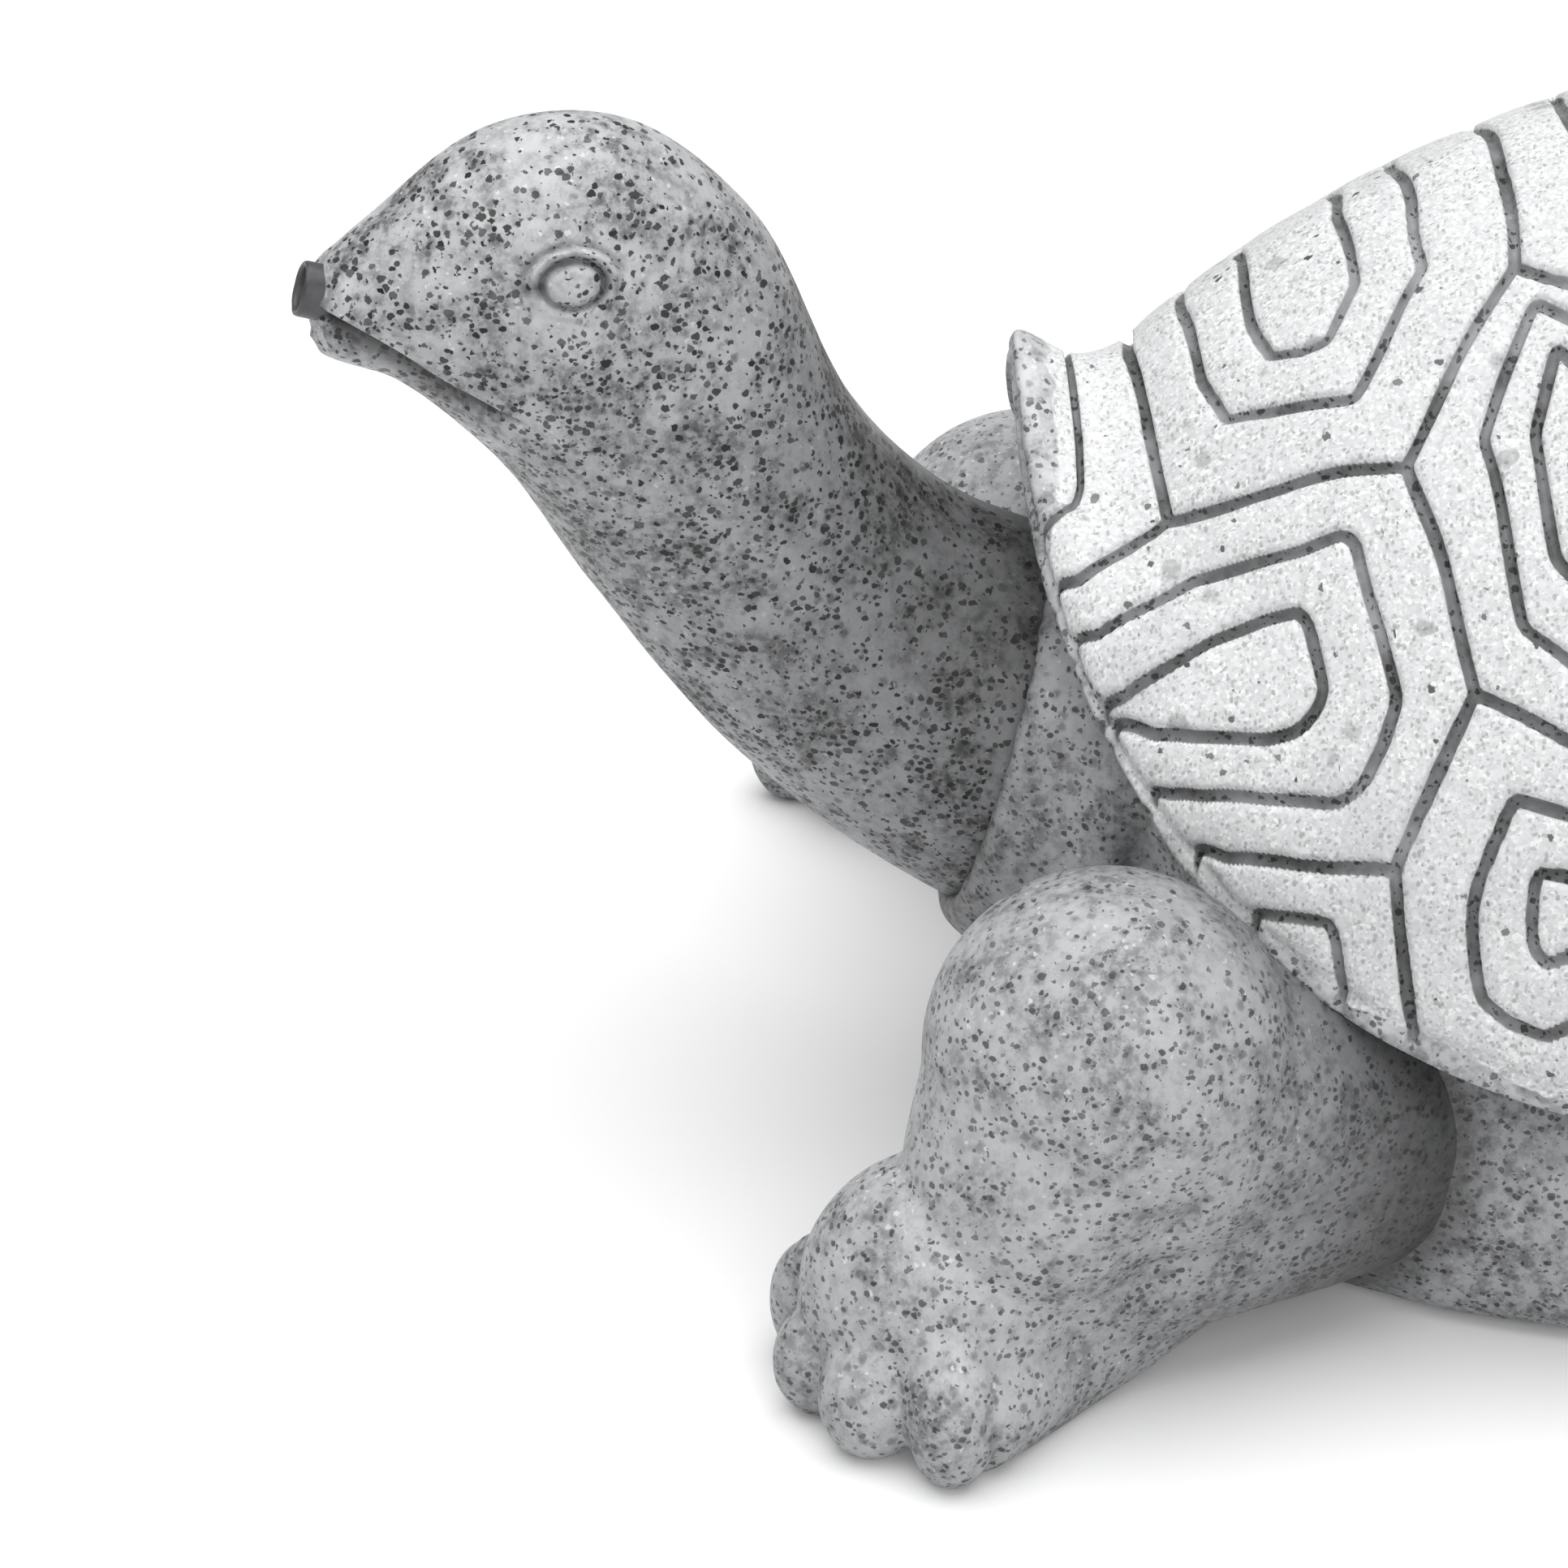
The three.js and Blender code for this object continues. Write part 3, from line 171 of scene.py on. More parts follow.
REAR_LEG = {
    "root": (56, 62, 34), "root_half": (22, 29),
    "shoulder": (90, 96, 44), "shoulder_radius": 29, "upper_arm": ((90, 96, 44), (29, 29)),
    "heel": (84, 92, 25), "heel_half": (23, 22),
    "ankle": (99, 104, 26), "ankle_radius": 21,
    "foot": (104, 113, 15), "foot_half": (21, 22, 20),
    "sole": (101, 102, 11), "sole_half": (11, 13), "sole_tip": (10, 9),
    "toe_forms": ((8, 5.8, 0), (8.5, 6.1, 0), (8.5, 6.1, 0), (8.5, 6.1, 0)), "toe_height": 10.5,
    "toes": ((170, 28), (143, 28), (117, 28), (90, 28)),
    "voxel": 1.1, "smoothing": 12,
}
LEG_SWELL = 0.45
# A toe's root from the middle of the foot, its knuckle, tip and round end back from its reach,
# how far root and knuckle stand above its height, and the heights of tip and end as shares of it
TOE_START, KNUCKLE_BACK, TIP_BACK, END_BACK = 2, 20, 7, 8
ROOT_RISE, KNUCKLE_RISE, TOE_CROWN = 6, 1, 3
TIP_LEVEL, END_LEVEL, TIP_HALF = 0.78, 0.76, 0.8
ROOT_WIDENING = 1.1
TOE_END_HALF = 8
SOLE_BACK, SOLE_HEIGHT = 12, 9
HEEL_INTO_FOOT, HEEL_INTO_SOLE = 0.7, 0.8
LIMB_COLUMNS, LIMB_ROWS, BALL_ROWS = 48, 30, 24


# Meshes

def to_metres(points):
    points = np.asarray(points, dtype=float) * MM
    points[:, 1] += SHELL_MIDDLE
    return points


def mesh_object(name, points, faces):
    mesh = bpy.data.meshes.new(name)
    mesh.from_pydata([tuple(p) for p in to_metres(points)], [], [tuple(f) for f in faces])
    mesh.validate()
    face_outward(mesh)
    obj = bpy.data.objects.new(name, mesh)
    scene.collection.objects.link(obj)
    smooth_shade(obj)
    return obj


def face_outward(mesh):
    working = bmesh.new()
    working.from_mesh(mesh)
    bmesh.ops.recalc_face_normals(working, faces=working.faces)
    working.to_mesh(mesh)
    working.free()


def smooth_shade(obj):
    obj.data.polygons.foreach_set("use_smooth", [True] * len(obj.data.polygons))
    obj.data.update()


def grid_faces(rows, columns):
    """Quads between rings of equal count that close round."""
    r, c = np.meshgrid(np.arange(rows - 1), np.arange(columns), indexing="ij")
    a = r * columns + c
    b = r * columns + (c + 1) % columns
    return np.stack([a, b, b + columns, a + columns], axis=-1).reshape(-1, 4).tolist()


def fan(ring, hub, turned=False):
    pairs = zip(ring, ring[1:] + ring[:1])
    return [(hub, b, a) if turned else (hub, a, b) for a, b in pairs]


def closed_faces(rows, columns):
    """Faces of a closed form whose points are its rings, a hub for the first and a hub for the last."""
    hub = rows * columns
    first, last = list(range(columns)), list(range(hub - columns, hub))
    return grid_faces(rows, columns) + fan(first, hub) + fan(last, hub + 1, turned=True)


def grid_normals(grid):
    """Unit normals of a (rows, columns, 3) grid whose columns close round."""
    across = np.roll(grid, -1, axis=1) - np.roll(grid, 1, axis=1)
    along = np.gradient(grid, axis=0)
    normal = np.cross(along, across)
    return normal / np.maximum(np.linalg.norm(normal, axis=2, keepdims=True), 1e-9)


def waves(points, size, seed):
    """Smooth noise in -1..1 at each point, with features of about that size."""
    flat = points.reshape(-1, 3) / size
    shift = Vector((seed, seed * 1.7, -seed))
    values = [noise.noise(Vector(p) + shift) for p in flat]
    return np.array(values).reshape(points.shape[:-1])


def smoothstep(low, high, value):
    t = np.clip((value - low) / (high - low), 0, 1)
    return t * t * (3 - 2 * t)


def ridge(value, at, width):
    """1 on a line, with a soft fall to both sides."""
    return np.exp(-((value - at) / width) ** 2)


def nearest(points, places):
    """For each place, the index of the nearest point and the distance to it."""
    tree = kdtree.KDTree(len(points))
    for i, p in enumerate(points):
        tree.insert(p, i)
    tree.balance()
    found = [tree.find(p) for p in places.reshape(-1, 3)]
    index, distance = (np.array([f[k] for f in found]) for k in (1, 2))
    return index.reshape(places.shape[:-1]), distance.reshape(places.shape[:-1])


def set_attribute(obj, name, values):
    layer = obj.data.attributes.new(name, "FLOAT", "POINT")
    layer.data.foreach_set("value", np.asarray(values, dtype=np.float32).ravel())


def apply_modifiers(obj):
    depsgraph = bpy.context.evaluated_depsgraph_get()
    done = bpy.data.meshes.new_from_object(obj.evaluated_get(depsgraph))
    obj.modifiers.clear()
    obj.data = done
    smooth_shade(obj)


# Carapace

def climb(flank):
    """How far the rim has risen, from 0 at the side to 1 at the front or the rear."""
    return 1 - (1 + PEAK_ROUNDING) * flank ** 2 / (flank + PEAK_ROUNDING)


def dome_height(reach, flank, front, top, lower):
    """Height of the dome at a reach between its middle, 0, and its rim, 1."""
    end = climb(flank)
    base = RIM_SIDE + (np.where(front, FRONT_BASE, REAR_BASE) - RIM_SIDE) * end
    brim_start = 1 - BRIM_WIDTH / HALF_LENGTH
    brim = np.maximum(0, (reach - brim_start) / (1 - brim_start)) ** BRIM_POWER
    flare = np.where(front, FRONT_FLARE, REAR_FLARE) * end * brim
    crown = np.maximum(0, 1 - reach ** CROWN_POWER) ** FLANK_POWER
    return base + lower * end + (top - base - lower * end) * crown + flare


def plan(turn, half_width, half_length):
    """A place on the rim seen from above, how far it lies to the side, and whether it lies in front."""
    s, c = np.sin(turn), np.cos(turn)
    reach = (np.abs(s) ** PLAN_POWER + np.abs(c) ** PLAN_POWER) ** (-1 / PLAN_POWER)
    return half_width * s * reach, -half_length * c * reach, np.abs(s * reach), c > 0


def outer_point(turn, reach):
    x, y, flank, front = plan(turn, HALF_WIDTH, HALF_LENGTH)
    z = dome_height(reach, flank, front, SHELL_TOP - RIM_EDGE, 0) + RIM_EDGE
    return np.stack([x * reach, y * reach, z], axis=-1)


def inner_point(turn, reach):
    x, y, flank, front = plan(turn, HALF_WIDTH - SHELL_WALL, HALF_LENGTH - SHELL_WALL)
    z = dome_height(reach, flank, front, SHELL_TOP - SHELL_WALL, RIM_EDGE - SHELL_WALL)
    return np.stack([x * reach, y * reach, z], axis=-1)


def reach_of(points):
    wide = np.abs(points[..., 0]) / HALF_WIDTH
    long = np.abs(points[..., 1]) / HALF_LENGTH
    return (wide ** PLAN_POWER + long ** PLAN_POWER) ** (1 / PLAN_POWER)


def on_dome(points):
    """Plan points lifted onto the outside of the dome."""
    reach = np.maximum(reach_of(points), 1e-6)
    flank = np.abs(points[..., 0]) / HALF_WIDTH / reach
    z = dome_height(np.minimum(reach, 1), flank, points[..., 1] < 0, SHELL_TOP - RIM_EDGE, 0) + RIM_EDGE
    return np.concatenate([points, z[..., None]], axis=-1)


CORNER = {
    "nuchal": (0.344, -0.829), "firstPoint": (0.473, -0.563), "firstBack": (0.275, -0.42),
    "secondPoint": (0.475, -0.21), "secondBack": (0.285, 0.0), "costalFoot": (0.727, -0.494),
    "shoulderFoot": (0.814, -0.589), "costalTip": (0.842, -0.296), "middleFoot": (0.745, -0.2),
    "middleTip": (0.87, 0.0), "rimNuchal": (0.359, -0.964), "rimShoulder": (0.675, -0.814),
    "rimFlank": (0.883, -0.569), "rimCostal": (0.985, -0.24), "rimMiddle": (1.0, 0.0),
}
# Each scute: its corners, the centre that its rings draw in to, and its rings as shares across and along.
# Where the rim cuts a scute open, or its ring was drawn freely, the rings are lists of places instead.
LARGE, SMALL = [(0.78, 0.56), (0.52, 0.26)], [(0.56, 0.5), (0.28, 0.24)]
NUCHAL_LINE = [(0.291, -0.959), (0.275, -0.934), (0.247, -0.926), (0.165, -0.924), (0, -0.928)]
FIRST_RINGS = [
    [(0, -0.791), (0.177, -0.779), (0.269, -0.761), (0.308, -0.711), (0.359, -0.616), (0.31, -0.579),
     (0.218, -0.518), (0.128, -0.527), (0, -0.53)],
    [(0, -0.72), (0.144, -0.714), (0.215, -0.705), (0.242, -0.669), (0.251, -0.636), (0.183, -0.596),
     (0, -0.607)],
]
SHOULDER_RINGS = [
    [(0.426, -0.944), (0.448, -0.918), (0.444, -0.87), (0.443, -0.803), (0.463, -0.757), (0.497, -0.685),
     (0.511, -0.635), (0.529, -0.62), (0.597, -0.607), (0.647, -0.595), (0.695, -0.582), (0.722, -0.599),
     (0.743, -0.622), (0.746, -0.645), (0.742, -0.659), (0.704, -0.731), (0.659, -0.804), (0.631, -0.839),
     (0.605, -0.862)],
    [(0.506, -0.914), (0.524, -0.892), (0.527, -0.855), (0.526, -0.789), (0.541, -0.724), (0.555, -0.688),
     (0.572, -0.677), (0.607, -0.67), (0.648, -0.663), (0.664, -0.679), (0.667, -0.698), (0.657, -0.73),
     (0.61, -0.811), (0.579, -0.857), (0.528, -0.904)],
]
MARGINAL_RING = [
    (0.75, -0.748), (0.771, -0.722), (0.789, -0.695), (0.811, -0.659), (0.822, -0.654), (0.833, -0.649),
]
FLANK_RINGS = [
    [(0.812, -0.455), (0.831, -0.474), (0.851, -0.495), (0.866, -0.504), (0.887, -0.501), (0.906, -0.493),
     (0.924, -0.458), (0.939, -0.417), (0.942, -0.392), (0.944, -0.345), (0.928, -0.323), (0.902, -0.31),
     (0.862, -0.333), (0.837, -0.394)],
    [(0.864, -0.43), (0.878, -0.435), (0.9, -0.436), (0.913, -0.419), (0.915, -0.387), (0.909, -0.364),
     (0.889, -0.362), (0.874, -0.395)],
]


def both_sides(half):
    """A line drawn on the left half, carried on over the midline."""
    return half + [(-x, y) for x, y in half[::-1] if x]


MIDLINE_SCUTES = [
    ("-rimNuchal -nuchal r-nuchal r-rimNuchal", None, [both_sides(NUCHAL_LINE)]),
    ("-nuchal -firstPoint -firstBack r-firstBack r-firstPoint r-nuchal", None,
     [both_sides(ring) for ring in FIRST_RINGS]),
    ("-firstBack -secondPoint -secondBack r-secondBack r-secondPoint r-firstBack", (0, -0.21), LARGE),
]
FLANK_SCUTES = [
    ("-rimNuchal -nuchal -firstPoint -costalFoot -shoulderFoot -rimShoulder", None, SHOULDER_RINGS),
    ("-rimShoulder -shoulderFoot -rimFlank", None, [MARGINAL_RING]),
    ("-firstPoint -firstBack -secondPoint -middleFoot -costalTip -costalFoot", (0.56, -0.37), LARGE),
    ("-shoulderFoot -costalFoot -costalTip -rimCostal -rimFlank", None, FLANK_RINGS),
    ("-costalTip -middleFoot -middleTip -rimMiddle -rimCostal", (0.925, -0.13), SMALL),
]
MIDDLE_SCUTE = (
    "-secondBack -secondPoint -middleFoot -middleTip b-middleFoot b-secondPoint", (0.56, 0), LARGE,
)
# Places that the lines between some corners pass on their way
WAYPOINTS = {
    ("rimNuchal", "nuchal"): [(0.377, -0.939), (0.364, -0.905), (0.351, -0.865)],
    ("nuchal", "nuchal"): [(0.167, -0.846), (0, -0.855), (-0.167, -0.846)],
    ("nuchal", "firstPoint"): [(0.38, -0.772), (0.417, -0.699), (0.442, -0.635)],
    ("shoulderFoot", "rimShoulder"): [(0.783, -0.66), (0.764, -0.696), (0.736, -0.741), (0.711, -0.777)],
    ("shoulderFoot", "rimFlank"): [(0.844, -0.585), (0.863, -0.579), (0.877, -0.574)],
}


def onto_rim(p):
    return p / reach_of(p)


def scute_corner(name, mirror):
    sides, key = name.split("-")
    x, y = CORNER[key]
    p = np.array([(-x if "r" in sides else x) * mirror[0] * HALF_WIDTH,
                  (-y if "b" in sides else y) * mirror[1] * HALF_LENGTH])
    on_rim = key.startswith("rim")
    return (onto_rim(p) if on_rim else p), on_rim


def densely(points, closed):
    """Points close together along a line."""
    points = np.array(points)
    if closed:
        points = np.vstack([points, points[:1]])
    dense = []
    for a, b in zip(points[:-1], points[1:]):
        count = max(2, int(np.linalg.norm(b - a) / LINE_STEP))
        dense.append(a + (b - a) * np.linspace(0, 1, count, endpoint=False)[:, None])
    dense.append(points[-1:])
    return np.vstack(dense)


def rounded(line, closed):
    for _ in range(LINE_ROUNDING):
        if closed:
            line = 0.5 * line + 0.25 * (np.roll(line, 1, axis=0) + np.roll(line, -1, axis=0))
        else:
            line[1:-1] = 0.5 * line[1:-1] + 0.25 * (line[:-2] + line[2:])
    return line


def carved_lines():
    """Every carved line as plan points, and its width share."""
    lines = []
    placed = [(s, (1, my)) for s in MIDLINE_SCUTES for my in (1, -1)]
    placed += [(s, (mx, my)) for s in FLANK_SCUTES for mx in (1, -1) for my in (1, -1)]
    placed += [(MIDDLE_SCUTE, (mx, 1)) for mx in (1, -1)]
    for (names, centre, rings), mirror in placed:
        names = names.split()
        scale = np.array(mirror) * (HALF_WIDTH, HALF_LENGTH)
        corners = [scute_corner(name, mirror) for name in names]
        for i, (place, on_rim) in enumerate(corners):
            j = (i + 1) % len(corners)
            if on_rim and corners[j][1]:
                continue
            (from_sides, start), (_, end) = names[i].split("-"), names[j].split("-")
            side = scale * (-1 if "r" in from_sides else 1, 1)
            between = WAYPOINTS.get((start, end)) or WAYPOINTS.get((end, start), [])[::-1]
            path = [place, *(np.array(p) * side for p in between), corners[j][0]]
            lines.append((rounded(densely(path, False), False), 1.0))
        for ring in rings:
            if centre is None:
                loop = [np.array(p) * scale for p in ring]
                is_open = reach_of(np.array(ring[0]) * (HALF_WIDTH, HALF_LENGTH)) > OPEN_REACH
                if is_open:
                    loop[0], loop[-1] = onto_rim(loop[0]), onto_rim(loop[-1])
            else:
                is_open = False
                drawn_to = np.array(centre) * scale
                loop = [drawn_to + (p - drawn_to) * ring for p, _ in corners]
            width = NUCHAL_RING_WIDTH if ring[0] == NUCHAL_LINE[0] else RING_WIDTH
            lines.append((rounded(densely(loop, not is_open), not is_open), width))
    return lines


def hand_wobble(points):
    """The same small drift for every line at a place, as a hand-held tool leaves, fading to the rim."""
    x, y = points[:, 0], points[:, 1]
    dx = WOBBLE_SLOW * np.sin(0.11 * x + 0.07 * y + 1.3) + WOBBLE_FAST * np.sin(0.23 * y - 0.13 * x + 0.7)
    dy = WOBBLE_SLOW * np.sin(0.09 * y - 0.12 * x + 2.1) + WOBBLE_FAST * np.sin(0.21 * x + 0.17 * y + 0.2)
    free = smoothstep(STEADY_REACH, FREE_REACH, reach_of(points))
    return points + np.stack([dx, dy], axis=-1) * free[:, None]


def unsanded_width(points):
    """Width of the unsanded strip in from the rim's top edge; below zero, it lies lower on the edge."""
    wide = np.abs(points[:, 0]) / HALF_WIDTH
    front = smoothstep(*FRONT_FADE, wide)
    flank = smoothstep(*FLANK_FADE, wide)
    patches = PATCH_BARE * smoothstep(0.22, 0.4, waves(points, 24.0, 12.0))
    return front * FRONT_BARE + flank * FLANK_BARE + (1 - front - flank) * (SHOULDER_BARE + patches)


def even_reaches():
    """Reaches of the dome's rings, evenly spaced along the mean of its side and shoulder outlines."""
    fine = np.linspace(0, 1, OUTLINE_SAMPLES)
    side, shoulder = np.array(math.pi / 2), np.array(SHOULDER_TURN)
    outline = 0.5 * outer_point(side, fine) + 0.5 * outer_point(shoulder, fine)
    arc = np.concatenate([[0], np.cumsum(np.linalg.norm(np.diff(outline, axis=0), axis=1))])
    reaches = np.interp(np.linspace(0, arc[-1], SHELL_ROWS + 1)[1:], arc, fine)
    reaches[-1] = 1
    return reaches


def grooves(grid):
    """How far each place lies in a carved line, from 0 to 1, its distance from it, and the line's width."""
    samples, widths = [], []
    for line, width in carved_lines():
        samples.append(on_dome(hand_wobble(line)))
        widths += [width] * len(line)
    index, distance = nearest(np.vstack(samples), grid)
    share = np.array(widths)[index]
    half = GROOVE_HALF * share * (1 + 0.16 * waves(grid, 11.0, 3.1))
    return np.exp(-(distance / half) ** 4), distance, share


def carapace():
    turns = np.linspace(0, 2 * math.pi, SHELL_COLUMNS, endpoint=False)
    grid = outer_point(turns[None, :], even_reaches()[:, None])
    rim = grid[-1]
    groove, distance, share = grooves(grid)
    _, from_rim = nearest(rim, grid)
    worn = WEAR_DEPTH * ridge(from_rim, 0, WEAR_REACH) * (1 + 0.8 * waves(grid, 5.0, 8.0))
    sunk = GROOVE_DEPTH * groove * share * (1 + 0.12 * waves(grid, 5.0, 5.5))
    sunk += SINK_DEPTH * ridge(distance, 0, SINK_REACH) + 0.25 * waves(grid, 16.0, 1.0)
    top = grid - grid_normals(grid) * (sunk - SHELL_SWELL)[..., None]
    outward = rim * np.array([1, 1, 0])
    outward /= np.linalg.norm(outward, axis=1, keepdims=True)
    top -= worn[..., None] * outward[None] * WEAR_INWARD
    top[..., 2] -= WEAR_DOWN * worn
    edge = top[-1]
    wide = np.abs(rim[:, 0]) / HALF_WIDTH
    thin = smoothstep(*THIN_START, wide) * smoothstep(*THIN_END, wide)
    under = rim.copy()
    under[:, 2] -= RIM_EDGE * (1 - THINNING * thin)
    notch = (EDGE_NOTCH * groove[-1])[:, None]
    bands = [edge * (1 - down) + under * down + outward * (out - cut * notch)
             for down, out, cut, _, _ in EDGE_RINGS]
    bands[-1][:, 2] -= EDGE_DROP
    inside = [inner_point(turns, reach) for reach in INSIDE_REACHES]
    hubs = [[[0, 0, SHELL_TOP - CROWN_DIP]], inner_point(np.array([0.0]), 0.0)]
    points = np.vstack([top.reshape(-1, 3), *bands, *inside, *hubs])
    covered = SHELL_ROWS + len(bands)
    obj = mesh_object("carapace_carved", points, closed_faces(covered + len(inside), SHELL_COLUMNS))
    within = np.zeros(len(inside) * SHELL_COLUMNS + len(hubs))
    painted = [strength * groove[-1] for _, _, _, strength, _ in EDGE_RINGS]
    below = [np.full(SHELL_COLUMNS, -depth) for _, _, _, _, depth in EDGE_RINGS]
    set_attribute(obj, "groove", np.concatenate([groove.ravel(), *painted, within]))
    set_attribute(obj, "from_rim", np.concatenate([from_rim.ravel(), *below, within - SHELL_WALL]))
    set_attribute(obj, "bare", np.concatenate([np.tile(unsanded_width(rim), covered), within]))
    return obj


# Head and neck

def catmull_rom(points, t):
    """A centripetal Catmull-Rom curve through the points, at shares t."""
    points = np.asarray(points, dtype=float)
    count = len(points)
    result = []
    for share in np.atleast_1d(t):
        place = (count - 1) * share
        i = min(int(place), count - 2)
        w = place - i
        p1, p2 = points[i], points[i + 1]
        p0 = points[i - 1] if i > 0 else 2 * p1 - p2
        p3 = points[i + 2] if i + 2 < count else 2 * p2 - p1
        d0, d1, d2 = (max(np.linalg.norm(b - a) ** 0.5, 1e-4) for a, b in ((p0, p1), (p1, p2), (p2, p3)))
        t1 = ((p1 - p0) / d0 - (p2 - p0) / (d0 + d1) + (p2 - p1) / d1) * d1
        t2 = ((p2 - p1) / d1 - (p3 - p1) / (d1 + d2) + (p3 - p2) / d2) * d1
        c2 = -3 * p1 + 3 * p2 - 2 * t1 - t2
        c3 = 2 * p1 - 2 * p2 + t1 + t2
        result.append(p1 + t1 * w + c2 * w ** 2 + c3 * w ** 3)
    return np.array(result)


def turn_at(y):
    share = np.clip((TURN_START - y) / (TURN_START - TURN_END), 0, 1)
    bend = 0.5 * math.tan(HEAD_TURN) * share ** 2 * (TURN_START - TURN_END)
    return HEAD_TURN * share, bend + math.tan(HEAD_TURN) * np.maximum(0, TURN_END - y)


def neck_grid(shares, angles):
    tops = catmull_rom([(half, *top) for top, _, half in PROFILE], shares)
    bottoms = catmull_rom([(0, *bottom) for _, bottom, _ in PROFILE], shares)
    half = tops[:, 0].copy()
    tops[:, 0] = 0
    centre = 0.5 * (tops + bottoms)
    up = tops - bottoms
    height = np.linalg.norm(up, axis=1)
    up /= height[:, None]
    angle, offset = turn_at(centre[:, 1])
    centre[:, 0] = offset
    across = np.stack([np.cos(angle), np.sin(angle), np.zeros_like(angle)], axis=-1)
    return (centre[:, None] + across[:, None] * (half[:, None] * np.sin(angles))[..., None]
            + up[:, None] * (0.5 * height[:, None] * np.cos(angles))[..., None])


def unturned(grid):
    """How far along each place would lie if the head weren't turned, and how far it lies off the middle."""
    _, offset = turn_at(grid[..., 1])
    across = grid[..., 0] - offset
    return grid[..., 1] - across * math.tan(HEAD_TURN), across


def mouth_distance(grid):
    """Distance above (+) or below (-) the lip line in side view, and the share of the way along it."""
    y, _ = unturned(grid)
    z = grid[..., 2]
    line = catmull_rom([(a, b, 0) for a, b in MOUTH_LINE], np.linspace(0, 1, 60))[:, :2]
    best = np.full(y.shape, 1e9)
    along = np.zeros(y.shape)
    for i, (a, b) in enumerate(zip(line[:-1], line[1:])):
        d = b - a
        s = np.clip(((y - a[0]) * d[0] + (z - a[1]) * d[1]) / d.dot(d), 0, 1)
        gap_y, gap_z = y - a[0] - s * d[0], z - a[1] - s * d[1]
        distance = np.hypot(gap_y, gap_z)
        side = np.sign(d[0] * gap_z - d[1] * gap_y)
        closer = distance < np.abs(best)
        best = np.where(closer, distance * np.where(side == 0, 1, side), best)
        along = np.where(closer, (i + s) / (len(line) - 1), along)
    return best, along


def eye_relief(grid, normals, side):
    """Eyeball, lids and grooves as heights along the normals round one eye, and the painted shade in its
    creases, with some dirt.
    """
    y, across = unturned(grid)
    miss = np.hypot(y - EYE_PLACE[0], grid[..., 2] - EYE_PLACE[1])
    miss = np.where(side * across > EYE_OFF_MIDDLE, miss, 1e9)
    i, j = np.unravel_index(np.argmin(miss), miss.shape)
    centre, out = grid[i, j], normals[i, j]
    ahead = np.array([math.sin(HEAD_TURN), -math.cos(HEAD_TURN), 0])
    ahead -= out * ahead.dot(out)
    ahead /= np.linalg.norm(ahead)
    upward = np.cross(out, ahead)
    upward *= np.sign(upward[2])
    local = grid - centre
    p, q = local @ ahead, local @ upward
    near = smoothstep(*EYE_FADE, np.linalg.norm(local, axis=-1))
    e = np.sqrt((p / EYE_HALF[0]) ** 2 + (q / EYE_HALF[1]) ** 2)
    ball = EYE_BULGE * np.sqrt(np.maximum(0, 1 - (e / 1.02) ** 2)) - 0.6 * smoothstep(1.3, 0.9, e)
    groove = ridge(e, *EYE_GROOVE)
    upper = smoothstep(-2.2, 0.6, q + 0.12 * p)
    lid = ridge(e, *UPPER_LID) * upper
    above = ridge(e, *LID_FOLD) * smoothstep(-0.5, 3.0, q)
    lower = ridge(e, *LOWER_LID) * (1 - upper)
    corner = ridge(p, 7.6, 2.0) * ridge(q, -0.2, 0.9)
    height = ball - 1.3 * groove + 1.7 * lid - 0.7 * above + 0.4 * lower - 0.9 * corner
    shade = 0.8 * groove * (0.75 + 0.25 * upper) + 0.5 * above + 0.75 * corner
    return near * height, near * np.clip(shade, 0, 1)


def mouth_relief(grid):
    """The cut under the lip line as heights along the normals, and the painted shadow in it."""
    above, along = mouth_distance(grid)
    jaw = np.maximum(0, -above)
    deep = smoothstep(0.0, 0.25, along) * smoothstep(1.0, 0.6, along)
    fade = smoothstep(1.0, 0.78, along) * smoothstep(14, 9, np.abs(above))
    below = smoothstep(0.0, 0.5, -above)
    recess = MOUTH_DEPTH * ridge(jaw, 0, 1.0 + 3.2 * deep) + LIP_CUT * ridge(jaw, 0, 1.0)
    shade = np.exp(-(jaw / (1.0 + 3.4 * deep)) ** 4)
    return -recess * below * fade, shade * below * fade


def head_neck():
    angles = np.linspace(0, 2 * math.pi, NECK_COLUMNS, endpoint=False)
    shares = np.concatenate([np.linspace(start, end, rings, endpoint=end == NECK_ROOT)
                             for start, end, rings in NECK_BANDS])
    grid = neck_grid(shares, angles)
    normals = -grid_normals(grid)
    height = 0.22 * waves(grid, 17.0, 4.0) + 0.05 * waves(grid, 3.5, 6.0)
    shade_and_dirt = np.zeros(grid.shape[:2])
    # Eye creases get painted shade with some dirt, and the cut under the lip a painted shadow; the residue
    # at the muzzle is darker in its own colour
    for relief, shade in (eye_relief(grid, normals, 1), eye_relief(grid, normals, -1), mouth_relief(grid)):
        height += relief
        shade_and_dirt = np.maximum(shade_and_dirt, shade)
    residue = smoothstep(RESIDUE_START, RESIDUE_FULL, grid[..., 1])
    height += 0.55 * residue * waves(grid, 2.6, 14.0)
    shade_and_dirt = np.maximum(shade_and_dirt, 0.5 * residue * smoothstep(0.1, 0.45, waves(grid, 3.0, 15.0)))
    grid = grid + normals * height[..., None]
    points = np.vstack([grid.reshape(-1, 3), grid[:1].mean(axis=1), grid[-1:].mean(axis=1)])
    obj = mesh_object("head_neck_cast", points, closed_faces(len(shares), NECK_COLUMNS))
    set_attribute(obj, "shade_and_dirt", np.concatenate([shade_and_dirt.ravel(), [0, 0]]))
    return obj


# Limbs and body

